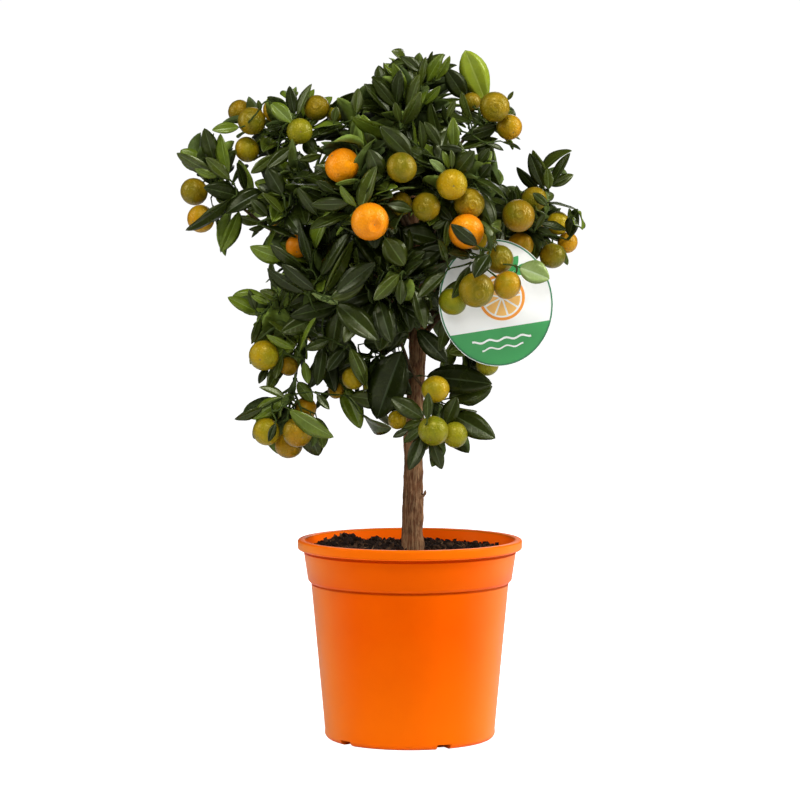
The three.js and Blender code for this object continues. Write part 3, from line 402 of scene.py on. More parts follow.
SOIL_MIX = crumbly("soil_mix", "1C120D", "33221A", 1.2)
CRUMB_DARK = crumbly("crumb_dark", "160E0A", "2A1C14", 0.6)
CRUMB_BROWN = crumbly("crumb_brown", "38261A", "523B2A", 0.6)
FIBRE_TAN = crumbly("fibre_tan", "6A4F38", "8A6B4C", 0.2)
LABEL_CARD = card("label_card", "F7F8F4")
LABEL_GREEN = card("label_green", "3F9E57")
LABEL_EDGE = card("label_edge", "3C7D58")
LABEL_ORANGE = card("label_orange", "F59B32")
LABEL_PULP = card("label_pulp", "FBC46B")


# %% Bark and twig finishes
def bark(name, first, second, streak_colour, scale, depth, streaks):
    """Bark in patches, with paler or darker fibres drawn along its length."""
    material, tree, shader, colour = finish(name, first, second, 0.78, scale=70.0, spread=0.15)
    gloss(shader, 0.15)
    fibre = node(tree, "Group", node_tree=FIBRES, Scale=scale, Stretch=0.1).outputs
    share = share_of(tree, fibre["Streak"], 0, 1, 0, streaks)
    feed(tree, shader.inputs["Base Color"], blend(tree, share, colour, rgb(streak_colour)))
    relief(tree, shader, fibre["Height"], depth)
    return material


BARK_OLD = bark("bark_old", "86593A", "543622", "C09C72", 620.0, 1.1, 0.6)
BARK_YOUNG = bark("bark_young", "4A3422", "33261A", "74603F", 800.0, 0.5, 0.55)
TWIG_GREEN = bark("twig_green", "39471A", "2A3613", "56662A", 900.0, 0.2, 0.5)
TWIG_DRY = bark("twig_dry", "2C221A", "1E1712", "4B3D30", 900.0, 0.4, 0.5)

# %% Leaf finishes
LEAF_TINTS = {  # upper side, its shade, underside, midrib, and how much it mirrors
    "dark": ("242C0B", "181F07", "4A5A2E", "3B4A1A", 0.28),
    "deep": ("30390E", "222A09", "566834", "47571F", 0.34),
    "mid": ("444E13", "323B0D", "66793C", "5E7128", 0.42),
    "fresh": ("64741C", "4E5F14", "7E9446", "7E953A", 0.42),
    "young": ("8F9D26", "7A8A22", "A6B453", "A6B44C", 0.42),
    "pale": ("8A9C58", "7A8E4E", "5C7030", "9CB47A", 0.42),
}


def leaf_finish(name, first, second, roughness, sheen, vein_share, vein_colour):
    """A waxy or dull leaf surface, with side veins that are a little paler and sunk."""
    material, tree, shader, colour = finish(
        name, first, second, roughness, scale=85.0, low=0.3, high=0.7, spread=0.14)
    gloss(shader, sheen, (0.95, 1, 0.66, 1))
    vein = node(tree, "Group", node_tree=VEINS, Count=8.0, Slant=0.3).outputs["Vein"]
    share = share_of(tree, vein, 0, 1, 0, vein_share)
    feed(tree, shader.inputs["Base Color"], blend(tree, share, colour, rgb(vein_colour)))
    relief(tree, shader, vein, -0.06, 0.6)
    return material


LEAF_MATERIALS = []
for tint, (upper, shade, under, rib, sheen) in LEAF_TINTS.items():
    LEAF_MATERIALS += [
        leaf_finish("leaf_" + tint, upper, shade, 0.22, sheen, 0.12, rib),
        leaf_finish("underleaf_" + tint, under, upper, 0.55, 0.2, 0.3, rib),
        finish("midrib_" + tint, rib, upper, 0.42, scale=120.0, high=0.9)[0]]

# %% Fruit finishes
FRUIT_TINTS = {  # letter: name, first and second colour of its patches
    "o": ("orange", "F09608", "DC7604"),
    "t": ("turning", "86760C", "C4860A"),
    "v": ("olive", "5C5C0A", "96760C"),
    "y": ("yellowing", "AE880A", "827A0C"),
    "g": ("green", "606A0C", "908410"),
    "b": ("bronze", "986C0A", "6A620A"),
}
OIL_COLOUR, OIL_PALENESS = "F2D468", 0.65


def rind(name, first, second):
    """A waxy rind in patches of two colours, pitted all over, with a pale dot of oil in each pit,
    and painted shade that darkens it where it turns away."""
    material, tree, shader, colour = finish(
        name, first, second, 0.3, scale=42.0, low=0.3, high=0.7, spread=0.08)
    gloss(shader, 0.45, (1, 0.86, 0.28, 1))
    pores = node(tree, "Group", node_tree=PORES, Scale=460.0, Size=0.55, Dot=0.42).outputs
    oil = [(1 - OIL_PALENESS) * c + OIL_PALENESS * p for c, p in zip(rgb(second), rgb(OIL_COLOUR))]
    colour = blend(tree, share_of(tree, pores["Dots"], 0, 1, 0, 0.2), colour, oil)
    # Painted shade: the rind's colour darkens towards its outline as it is seen.
    facing = node(tree, "LayerWeight", Blend=0.5).outputs["Facing"]
    rim = share_of(tree, facing, 0.35, 0.95, 0, 0.5)
    feed(tree, shader.inputs["Base Color"], blend(tree, rim, colour, rgb(second, dim=0.4)))
    relief(tree, shader, pores["Height"], 0.35, 0.9)
    return material


FRUIT_MATERIALS = {key: rind("rind_" + name, a, b) for key, (name, a, b) in FRUIT_TINTS.items()}
FRUIT_MATERIALS["scar"] = finish("fruit_scar", "8A7434", "6A5A28", 0.7, scale=900.0)[0]
print("materials:", len(bpy.data.materials))


# %% [markdown]
# ## Small helpers for modelling
# Operators work on what is selected, so everything is deselected before a new piece is started.
# When a piece is done it stands in for its solid, rides on the part's one body and keeps its
# place in its mesh.


# %% Modelling helpers
def start_clean():
    if bpy.context.object and bpy.context.object.mode != "OBJECT":
        bpy.ops.object.mode_set(mode="OBJECT")
    bpy.ops.object.select_all(action="DESELECT")


def pick(*objects):
    start_clean()
    for item in objects:
        item.select_set(True)
    bpy.context.view_layer.objects.active = objects[0]


def edit_all():
    """Opens the piece at hand for editing, with all its corners selected."""
    bpy.ops.object.mode_set(mode="EDIT")
    bpy.ops.mesh.select_all(action="SELECT")


def face_outward():
    """Turns every face outward, and closes the editing."""
    bpy.ops.mesh.select_all(action="SELECT")
    bpy.ops.mesh.normals_make_consistent(inside=False)
    bpy.ops.object.mode_set(mode="OBJECT")


def apply_modifiers(item):
    pick(item)
    for modifier in list(item.modifiers):
        bpy.ops.object.modifier_apply(modifier=modifier.name)


def finished(item, name, replaced=()):
    """Names a piece, lays its place into its mesh, and hands it to the frame."""
    pick(item)
    bpy.ops.object.transform_apply(location=True, rotation=True, scale=True)
    item.name = name
    item.data.name = name
    if replaced:
        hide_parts(*replaced)
    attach(item, "root")
    triangles = sum(len(face.vertices) - 2 for face in item.data.polygons)
    print(name, "triangles:", triangles)


def mesh_piece(name, verts, faces, slots, materials, uvs=None, smooth=True):
    """One mesh from arrays, for the many small shapes of one kind. Sizes are in millimetres."""
    mesh = bpy.data.meshes.new(name)
    mesh.from_pydata((np.asarray(verts) * MM).tolist(), [], faces)
    for material in materials:
        mesh.materials.append(material)
    mesh.polygons.foreach_set("material_index", slots)
    mesh.polygons.foreach_set("use_smooth", [smooth] * len(faces))
    if uvs is not None:
        layer = mesh.uv_layers.new(name="leaf")
        corners = np.empty(len(mesh.loops), np.int32)
        mesh.loops.foreach_get("vertex_index", corners)
        layer.data.foreach_set("uv", np.asarray(uvs, np.float32)[corners].ravel())
    mesh.update()
    item = bpy.data.objects.new(name, mesh)
    SCENE.collection.objects.link(item)
    return item


class Heap:
    """Corners and faces of many small shapes that are to be one mesh."""

    def __init__(self):
        self.verts, self.faces, self.slots, self.uvs = [], [], [], []
        self.count = 0

    def add(self, verts, faces, slots, uvs=None):
        verts = np.asarray(verts)
        self.verts.append(verts)
        self.faces.extend([tuple(i + self.count for i in face) for face in faces])
        self.slots.extend(slots if hasattr(slots, "__len__") else [slots] * len(faces))
        if uvs is not None:
            self.uvs.append(uvs)
        self.count += len(verts)

    def piece(self, name, materials, smooth=True):
        uvs = np.concatenate(self.uvs) if self.uvs else None
        return mesh_piece(
            name, np.concatenate(self.verts), self.faces, self.slots, materials, uvs, smooth)


# %% [markdown]
# ## The pot
# A nursery pot is moulded in one piece: a flat foot with a raised ring under it, a rounded
# corner, a body that widens upwards, a step, a wide collar and a rolled rim. A narrow groove runs
# under the collar and under the rim. Spinning a profile would do. Here one ring of corners is
# extruded and widened over and over, which keeps the whole outline in one list of sizes. The
# drain notches are cut last.

# %% The pot's sizes
POT = {
    "height": 187, "wall": 1.9, "rim": 105, "rim_drop": 9.5, "rim_rounding": 2.2,
    "collar_top": 99.4, "collar_foot": 95.4, "step_at": 149, "step": 2.6,
    "body_top": 92.4, "body_foot": 79.4, "foot": 74, "corner": 6,
    "dish": (34, 62), "dish_depth": 2.2,
    "notches": 5, "notch": (20, 13.5, 5), "first_notch": math.radians(-66.8),
}
POT_SEGMENTS = 112


def arc(centre, radius, start, end, steps):
    """Points of a rounding in the profile, from one angle in degrees to another."""
    angles = [math.radians(start + (end - start) * k / steps) for k in range(steps + 1)]
    return [(centre[0] + radius * math.cos(a), centre[1] + radius * math.sin(a)) for a in angles]


def pot_profile():
    wall, foot, corner, r = POT["wall"], POT["foot"], POT["corner"], POT["rim_rounding"]
    body_foot, body_top, step_at = POT["body_foot"], POT["body_top"], POT["step_at"]
    collar_foot, collar, rim = POT["collar_foot"], POT["collar_top"], POT["rim"]
    (dish, dish_end), deep, high = POT["dish"], POT["dish_depth"], POT["height"]
    under_step, under_rim = step_at - POT["step"], high - POT["rim_drop"]
    outside = [
        (3, deep * 0.6), (4, 0.0), (dish, 0), (dish + 2, deep), (dish_end - 2, deep),
        (dish_end, 0), (foot - 0.6, 0),
        *arc((body_foot - corner + 0.6, corner), corner, -84, -6, 7),
        (body_foot + 0.35, corner + 3),
        # The groove under the collar, the collar, and the groove under the rim.
        (body_top - 0.1, under_step - 1.4), (body_top - 1.0, under_step - 0.9),
        (body_top - 1.0, under_step + 0.3), (body_top + 0.9, under_step + 0.5),
        (collar_foot - 0.5, step_at - 0.3), (collar_foot, step_at + 0.5),
        (collar - 0.2, under_rim - 3), (collar - 1.3, under_rim - 2.2),
        (collar - 1.2, under_rim + 0.2),
        *arc((rim - r, under_rim + r), r, -80, 0, 5), *arc((rim - r, high - r), r, 4, 90, 6),
    ]
    inside = [
        *arc((collar - wall + r, high - r), r, 90, 180, 4), (collar_foot - wall - 0.2, step_at + 1),
        (body_top - wall, under_step), (body_foot - wall, corner + 1), (foot, deep + wall),
        (3, deep + wall),
    ]
    return outside + inside


# %% Extrude the pot's wall ring by ring
def extrude_rings(profile, segments, name):
    """One closed shell of revolution: a ring of corners, extruded and widened along a profile."""
    start_clean()
    radius, height = profile[0]
    bpy.ops.mesh.primitive_circle_add(
        vertices=segments, radius=radius * MM, location=(0, 0, height * MM))
    item = bpy.context.object
    item.name = name
    edit_all()
    bpy.ops.mesh.edge_face_add()
    bpy.ops.mesh.select_all(action="SELECT")
    bpy.ops.mesh.delete(type="ONLY_FACE")
    bpy.ops.mesh.select_all(action="SELECT")
    for new_radius, new_height in profile[1:]:
        bpy.ops.mesh.extrude_region_move(
            TRANSFORM_OT_translate={"value": (0, 0, (new_height - height) * MM)})
        grow = new_radius / radius
        bpy.ops.transform.resize(value=(grow, grow, 1), center_override=(0, 0, new_height * MM))
        radius, height = new_radius, new_height
    bpy.ops.mesh.edge_face_add()
    bpy.ops.mesh.select_all(action="DESELECT")
    bpy.ops.mesh.select_mode(type="EDGE")
    bpy.ops.mesh.select_non_manifold()
    bpy.ops.mesh.edge_face_add()
    bpy.ops.mesh.select_mode(type="VERT")
    face_outward()
    bpy.ops.object.transform_apply(location=True, rotation=False, scale=False)
    return item


pot = extrude_rings(pot_profile(), POT_SEGMENTS, "pot_moulded")
print("pot corners:", len(pot.data.vertices))


# %% Cut the drain notches
def cut(item, cutter):
    pick(item)
    modifier = item.modifiers.new("cut", "BOOLEAN")
    modifier.operation = "DIFFERENCE"
    modifier.solver = "EXACT"
    modifier.object = cutter
    bpy.ops.object.modifier_apply(modifier=modifier.name)
    bpy.data.objects.remove(cutter)


length, width, height = POT["notch"]
for k in range(POT["notches"]):
    turn = POT["first_notch"] + TURN * k / POT["notches"]
    start_clean()
    bpy.ops.mesh.primitive_cube_add(
        size=1, rotation=(0, 0, turn),
        location=(POT["foot"] * math.cos(turn) * MM, POT["foot"] * math.sin(turn) * MM, 0))
    notch = bpy.context.object
    notch.scale = (length * MM, width * MM, 2 * height * MM)
    cut(pot, notch)
pot.data.materials.append(POT_PLASTIC)
pick(pot)
bpy.ops.object.shade_smooth_by_angle(angle=math.radians(32))
finished(pot, "pot_moulded", ["pot"])

# %% [markdown]
# ## The soil
# Peat fills the pot to just under its rim, in lumps. A fine disc of rings is built like the pot.
# One Displace modifier raises it a little towards the left, and three with clouds, from coarse to
# fine, make lumps and grains. Crumbs, bits of bark and fibres lie on it as many small shapes in
# one mesh.

# %% The soil's body
SOIL_LEVEL = 176
SOIL_RADIUS = 94.6
SOIL_SEGMENTS = 150
MOUND_HEIGHT = 9
SOIL_CLOUDS = (("soil_lumps", 26, 7), ("soil_crumbs", 7, 5), ("soil_grains", 2.4, 2.4))


def clouds(name, size):
    texture = bpy.data.textures.new(name, "CLOUDS")
    texture.noise_scale = size * MM
    texture.noise_depth = 2
    return texture


def displace(item, texture, strength, direction="Z", group="", middle=0.5):
    modifier = item.modifiers.new("relief", "DISPLACE")
    modifier.texture = texture
    modifier.strength = strength * MM
    modifier.mid_level = middle
    modifier.direction = direction
    modifier.vertex_group = group
    return modifier


soil_rings = [(2, 5), (72, 5), (76, 12), (88, 138), (SOIL_RADIUS - 0.6, SOIL_LEVEL - 6)]
soil_rings += [(SOIL_RADIUS * (1 - k / 38), SOIL_LEVEL) for k in range(38)]
soil = extrude_rings(soil_rings, SOIL_SEGMENTS, "soil_body")
top = soil.vertex_groups.new(name="top")
mound = soil.vertex_groups.new(name="mound")
for vertex in soil.data.vertices:
    x, y, z = vertex.co / MM
    if z > SOIL_LEVEL - 0.5:
        radius = math.hypot(x, y)
        rise = math.exp(-((x + 60) ** 2 + (y - 30) ** 2) / 260) + 0.35 * max(0, -x / SOIL_RADIUS)
        top.add([vertex.index], min(1, (SOIL_RADIUS + 1 - radius) / 6, radius / 20), "REPLACE")
        mound.add([vertex.index], min(1, rise), "REPLACE")
displace(soil, None, MOUND_HEIGHT, group="mound", middle=0)
for name, size, strength in SOIL_CLOUDS:
    displace(soil, clouds(name, size), strength, group="top")
apply_modifiers(soil)
soil.data.materials.append(SOIL_MIX)
pick(soil)
bpy.ops.object.shade_smooth()
finished(soil, "soil_body", ["soil"])
SURFACE = BVHTree.FromPolygons(
    [v.co / MM for v in soil.data.vertices], [tuple(p.vertices) for p in soil.data.polygons])


def soil_height(x, y):
    hit = SURFACE.ray_cast(Vector((x, y, 400)), Vector((0, 0, -1)))
    return hit[0].z if hit[0] else SOIL_LEVEL


# %% [markdown]
# ### Chance that repeats
# The growth rule of the crown uses a small stream of random numbers that gives the same ones in
# every run, as the solids' source does. The crumbs use one as well.


# %% The random stream
def make_random(seed):
    state = [seed & 0xFFFFFFFF]

    def draw(low=0.0, high=1.0):
        state[0] = (state[0] * 1664525 + 1013904223) & 0xFFFFFFFF
        return low + (high - low) * state[0] / 2 ** 32

    return draw


# %% Crumbs and fibres
ICO_T = (1 + math.sqrt(5)) / 2
ICO_VERTS = np.array([
    (-1, ICO_T, 0), (1, ICO_T, 0), (-1, -ICO_T, 0), (1, -ICO_T, 0), (0, -1, ICO_T), (0, 1, ICO_T),
    (0, -1, -ICO_T), (0, 1, -ICO_T), (ICO_T, 0, -1), (ICO_T, 0, 1), (-ICO_T, 0, -1), (-ICO_T, 0, 1),
]) / math.hypot(1, ICO_T)
ICO_FACES = [
    (0, 11, 5), (0, 5, 1), (0, 1, 7), (0, 7, 10), (0, 10, 11), (1, 5, 9), (5, 11, 4), (11, 10, 2),
    (10, 7, 6), (7, 1, 8), (3, 9, 4), (3, 4, 2), (3, 2, 6), (3, 6, 8), (3, 8, 9), (4, 9, 5),
    (2, 4, 11), (6, 2, 10), (8, 6, 7), (9, 8, 1),
]
CRUMBS = 4200
CHIPS = 260
TRUNK_FOOT = Vector((2.5, 0))
BARE_RING = 12.5  # no crumbs nearer to the trunk's middle


def scatter_crumbs():
    draw = make_random(311)
    heap = Heap()
    for k in range(CRUMBS + CHIPS):
        chip = k >= CRUMBS
        radius = SOIL_RADIUS * 0.985 * math.sqrt(draw())
        turn = draw(0, TURN)
        x, y = radius * math.cos(turn), radius * math.sin(turn)
        if (Vector((x, y)) - TRUNK_FOOT).length < BARE_RING:
            continue
        size = draw() ** 5 * 2.4 + 0.35
        stretch = np.array([size * draw(0.7, 1.3) for _ in range(3)])
        if chip:
            stretch = np.array([draw(2.5, 7), draw(0.2, 0.6), draw(0.2, 0.4)])
        jitter = np.array([draw(0.55, 1.45) for _ in range(12)])[:, None]
        spin = Matrix.Rotation(draw(0, TURN), 3, "Z") @ Matrix.Rotation(draw(-0.7, 0.7), 3, "Y")
        corners = (ICO_VERTS * jitter * stretch) @ np.array(spin.transposed())
        lift = soil_height(x, y) + 0.35 * stretch[2] * draw(0.4, 1.4)
        slot = 2 if chip else (1 if draw() < 0.3 else 0)
        heap.add(corners + (x, y, lift), ICO_FACES, slot)
    return heap


crumbs = scatter_crumbs().piece("soil_crumbs", [CRUMB_DARK, CRUMB_BROWN, FIBRE_TAN], smooth=False)
finished(crumbs, "soil_crumbs")

# %% [markdown]
# ## Limbs
# A limb is a smooth line through a few points with a radius at each. The trunk's line is a short
# list, and every bough leaves its parent at a share of its length, bends through given points and
# ends where it enters its mass of foliage. These are the same numbers as the solids' own.

# %% Vectors along a limb
UP = Vector((0, 0, 1))
CLEARANCE = 0.3
FACET_GAP = 0.42
BARE = "bare"  # the end of a shoot that has no leaf of its own


def lerp(low, high, share):
    return low + (high - low) * share


def slanted(heading, across, angle):
    """The direction at an angle from `heading`, towards `across`, which is square to it."""
    return heading * math.cos(angle) + across * math.sin(angle)


def square_to(direction):
    helper = UP if abs(direction.z) < 0.9 else Vector((1, 0, 0))
    return direction.cross(helper).normalized()


def square_share(way, heading):
    return (way - heading * way.dot(heading)).normalized()


def turned(way, axis, angle):
    return Matrix.Rotation(angle, 3, axis) @ way


class Limb:
    """A tapering line. What grows out of its side is kept in `side`, and its end leaf in `end`."""

    def __init__(self, points, radii, heading=None):
        self.points, self.radii = points, radii
        self.along = [0.0]
        for before, after in zip(points, points[1:]):
            self.along.append(self.along[-1] + (after - before).length)
        last = len(points) - 1
        self.slopes = []
        for i in range(last + 1):
            a, b = max(i - 1, 0), min(i + 1, last)
            self.slopes.append((points[b] - points[a]) / (self.along[b] - self.along[a]))
        if heading:
            self.slopes[0] = heading
        self.length = self.along[-1]
        self.side, self.end, self.share = [], None, 0

    def at(self, share):
        """Its point, heading and radius at a share of its length, by a Hermite curve."""
        distance = share * self.length
        i = 1
        while i < len(self.points) - 1 and self.along[i] < distance:
            i += 1
        span = self.along[i] - self.along[i - 1]
        u = (distance - self.along[i - 1]) / span
        rest = 1 - u
        ends = (self.points[i - 1], self.slopes[i - 1], self.points[i], self.slopes[i])

        def weighed(*weights):
            return sum((end * w for end, w in zip(ends, weights)), Vector())

        point = weighed(rest ** 2 * (1 + 2 * u), span * u * rest ** 2,
                        u ** 2 * (3 - 2 * u), -span * u ** 2 * rest)
        turn = 6 * u * rest / span
        heading = weighed(-turn, rest * (1 - 3 * u), turn, u * (3 * u - 2)).normalized()
        return point, heading, lerp(self.radii[i - 1], self.radii[i], u)

    def cut_short(self, share):
        """Ends it at a share of its length, with no leaf of its own at the end."""
        kept = [self.at(share * k / 2) for k in range(3)]
        side, own_share = [s / share for s in self.side], self.share
        self.__init__([k[0] for k in kept], [k[2] for k in kept], kept[0][1])
        self.slopes[-1] = kept[2][1]
        self.side, self.share, self.end = side, own_share, BARE


# %% The trunk, the boughs and their masses
TRUNK_LINE = [  # centre, radius
    ((2.5, 0, 176.3), 12.2), ((2.4, 0, 192), 10.3), ((3, -1, 240), 9.4), ((3.6, 0, 290), 8.8),
    ((7, 2, 364), 8.4), ((8, 3, 425), 6.6), ((3, 4, 490), 4.6), ((-3, 0, 540), 2.8),
]
BOUGH = {"root": 3.4, "root_share": 0.62, "tip": 1.6, "entry": 0.75}
BOUGHS = {  # name: parent, share of its length, bends
    "top_right": ("trunk", 0.86, [(30, -6, 535)]),
    "upper_left": ("trunk", 0.8, [(-40, 4, 528)]),
    "upper_middle": ("trunk", 0.91, []),
    "far_left": ("trunk", 0.72, [(-55, 6, 462), (-128, 2, 476)]),
    "left": ("far_left", 0.42, []),
    "left_middle": ("trunk", 0.66, [(-34, -12, 432)]),
    "centre_front": ("trunk", 0.77, [(-6, -30, 490)]),
    "centre_right": ("trunk", 0.7, [(20, -28, 470)]),
    "right": ("trunk", 0.67, [(52, 4, 462)]),
    "far_right": ("right", 0.6, []),
    "lower_right": ("trunk", 0.6, [(44, -30, 462), (68, -70, 475.2)]),
    "lower_centre": ("trunk", 0.56, [(-4, -28, 418)]),
    "lower_left": ("trunk", 0.62, [(-48, -4, 418)]),
    "lowest_left": ("lower_left", 0.7, [(-92, -4, 388), (-104, -12, 352)]),
    "low_middle": ("trunk", 0.54, [(-24, -8, 386)]),
    "low_front": ("lower_centre", 0.45, [(-14, -40, 398), (2, -36, 345)]),
    "under_right": ("trunk", 0.53, [(28, -8, 396)]),
    "back_top": ("trunk", 0.88, [(-8, 30, 535)]),
    "back_left": ("trunk", 0.74, [(-45, 36, 470)]),
    "back_right": ("trunk", 0.75, [(42, 38, 478)]),
    "back_centre": ("trunk", 0.68, [(2, 50, 456)]),
    "back_low_left": ("trunk", 0.61, [(-34, 34, 410)]),
    "back_low_right": ("trunk", 0.58, [(36, 34, 408)]),
}
MASS_ROWS = [  # tips are where the outermost leaves end, and fruit is a place and a radius
    ("crown", (4, -6, 592), (52, 44, 46), (0, -0.2, 1), 6, 0.9, [(-9, -20, 637), (21, -10, 641),
     (35, 6, 638), (41, -22, 626), (-43, -10, 612)], []),
    ("top_right", (72, -26, 586), (44, 42, 56), (0.5, -0.3, 0.4), 5, 0.9, [(52, -45, 641),
     (102, -30, 549), (74, -40, 549)], [(77, -52, 588, 14), (91, -34, 570, 12), (57, -6, 594, 9)]),
    ("upper_left", (-120, -8, 570), (62, 42, 40), (-0.3, -0.4, 0.6), 4, 1, [(-111, -10, 610),
     (-89, -10, 611), (-141, 0, 597), (-167, -20, 553), (-181, -20, 567)], [(-159, 12, 586, 11),
     (-146, -19, 576, 13), (-151, -8, 550, 12), (-125, 4, 587, 12), (-86, -22, 588, 12),
     (-101, -44, 566, 12), (-70, 2, 584, 9)]),
    ("upper_middle", (-50, -14, 570), (40, 40, 40), (-0.4, -0.6, 0.5), 5, 1, [(-50, -10, 603),
     (-80, -30, 543)], []),
    ("far_left", (-184, -4, 516), (44, 40, 60), (-0.8, -0.2, 0.2), 3, 1, [(-217, 0, 547),
     (-190, -5, 569), (-174, -6, 453), (-208, -12, 474), (-147, -18, 474)], [(-200, -10, 511, 13),
     (-193, -24, 486, 13)]),
    ("left", (-106, -30, 508), (46, 46, 44), (-0.6, -0.6, 0.3), 7, 1, [(-137, -30, 541),
     (-86, -30, 535)], [(-103, -48, 461, 11)]),
    ("left_middle", (-84, -40, 446), (52, 46, 40), (-0.5, -0.8, 0.2), 8, 1, [(-138, -30, 466)], []),
    ("centre_front", (-38, -88, 518), (48, 52, 56), (-0.2, -0.8, 0.5), 8, 1, [],
     [(-61, -108, 534, 16), (-36, -136, 484, 17), (-8, -122, 532, 14)]),
    ("centre_right", (34, -72, 518), (42, 50, 54), (0.4, -0.8, 0.5), 7, 1, [(74, -50, 540)],
     [(14, -104, 497, 13), (-9, -92, 500, 11), (37, -116, 517, 14), (53, -96, 500, 14),
     (50, -114, 475, 16), (60, -92, 467, 9.5)]),
    ("right", (116, -22, 480), (44, 50, 44), (0.7, -0.3, 0.3), 7, 0.85, [(156, 0, 497),
     (94, -16, 518)], [(98, -76, 489, 15), (101, -50, 462, 12), (131, -34, 452, 12),
     (146, -12, 464, 10), (137, -18, 482, 11), (114, -34, 504, 12)]),
    ("far_right", (124, -8, 526), (34, 34, 34), (0.3, 0, 0.9), 2, 0.9, [(100, -10, 534),
     (110, -10, 549), (149, -6, 546)], []),
    ("lower_right", (64, -102, 442), (50, 38, 42), (0, -0.5, 0.4), 9, 0.7, [(104, -92, 458),
     (24, -96, 440)], [(59, -118, 423, 16), (87, -110, 427, 13), (38, -97, 412, 13),
     (80, -98, 450, 13)]),
    ("lower_centre", (-22, -74, 426), (52, 50, 50), (-0.1, -0.9, -0.1), 9, 1.1, [(-28, -76, 366)],
     []),
    ("lower_left", (-116, -24, 388), (52, 48, 50), (-0.6, -0.4, -0.1), 7, 1, [(-170, -10, 413),
     (-161, 0, 388), (-148, -30, 352), (-82, -30, 338)], [(-134, -52, 361, 14),
     (-112, -34, 350, 9)]),
    ("lowest_left", (-112, -30, 310), (50, 42, 42), (-0.2, -0.2, -0.7), 5, 1, [(-162, -20, 307),
     (-70, -30, 285)], [(-97, -18, 310, 11), (-132, -50, 291, 13), (-103, -58, 291, 14),
     (-112, -32, 277, 13)]),
    ("low_middle", (-46, -30, 342), (44, 42, 50), (-0.2, -0.4, -0.6), 6, 1.15, [(-42, -40, 293),
     (-28, -56, 302), (-80, -34, 352), (-2, -40, 352)], [(-52, -42, 340, 11), (-69, -15, 327, 8)]),
    ("low_front", (34, -54, 304), (48, 36, 50), (0.3, -0.4, -0.7), 4, 1.15, [(76, -50, 335),
     (78, -60, 287), (28, -60, 257), (2, -50, 259)], [(23, -66, 331, 13), (21, -80, 294, 14),
     (41, -62, 289, 12), (-12, -50, 302, 9)]),
    ("under_right", (50, -24, 374), (38, 38, 40), (0.5, -0.4, -0.4), 4, 1, [(74, -46, 335),
     (36, -40, 352), (28, -46, 380)], [(71, -48, 353, 11)]),
    ("back_top", (-12, 62, 566), (60, 46, 48), (0, 0.6, 0.8), 7, 1.1, [], [(-38, 84, 548, 14),
     (18, 92, 560, 13)]),
    ("back_left", (-98, 74, 494), (58, 50, 54), (-0.6, 0.6, 0.4), 6, 1.1, [], [(-120, 92, 478, 15),
     (-84, 108, 486, 13)]),
    ("back_right", (76, 72, 498), (56, 50, 54), (0.6, 0.6, 0.4), 6, 1.1, [], [(96, 100, 492, 15),
     (118, 74, 486, 13)]),
    ("back_centre", (-4, 122, 474), (52, 40, 48), (0, 0.9, 0.1), 6, 1.1, [], [(-14, 142, 452, 16),
     (22, 138, 462, 13)]),
    ("back_low_left", (-66, 76, 400), (52, 50, 46), (-0.5, 0.6, -0.2), 6, 1.1, [],
     [(-88, 92, 378, 14), (-60, 98, 382, 12)]),
    ("back_low_right", (62, 76, 406), (50, 50, 46), (0.5, 0.6, -0.2), 6, 1.1, [],
     [(78, 92, 386, 14), (50, 100, 388, 12)]),
]
MASS_TRAITS = ("centre", "size", "aim", "shoots", "leaf", "tips", "fruit")
MASSES = {name: dict(zip(MASS_TRAITS, row)) for name, *row in MASS_ROWS}


def entry_point(mass, root):
    """Where a limb that comes from `root` enters a mass: on the near side of its space."""
    centre = Vector(mass["centre"])
    inward = (centre - root).normalized()
    reach = 1 / Vector([c / s for c, s in zip(inward, mass["size"])]).length
    return centre - inward * BOUGH["entry"] * reach


def grow_boughs():
    limbs = {"trunk": Limb([Vector(p) for p, _ in TRUNK_LINE], [r for _, r in TRUNK_LINE])}
    for name, (parent, share, via) in BOUGHS.items():
        root, _, parent_radius = limbs[parent].at(share)
        bends = [Vector(p) for p in via]
        tip = entry_point(MASSES[name], bends[-1] if bends else root)
        points = [root, *bends, tip]
        thick = min(BOUGH["root"], BOUGH["root_share"] * parent_radius)
        last = len(points) - 1
        radii = [lerp(thick, BOUGH["tip"], i / last) for i in range(last + 1)]
        limbs[name] = Limb(points, radii)
    return limbs


LIMBS = grow_boughs()
print("limbs:", len(LIMBS), "masses:", len(MASSES))


# %% [markdown]
# ### Tubes
# A tube is laid along a limb as rings of corners. The same function serves for the boughs, whose
# skin swells at their knots, and for thin twigs. The ring turns as little as it can on its way.


# %% Tube along a limb
def bands(rings, sides):
    """The faces between rings of corners that follow one another."""
    return [(a + k, a + (k + 1) % sides, a + sides + (k + 1) % sides, a + sides + k)
            for a in range(0, (rings - 1) * sides, sides) for k in range(sides)]


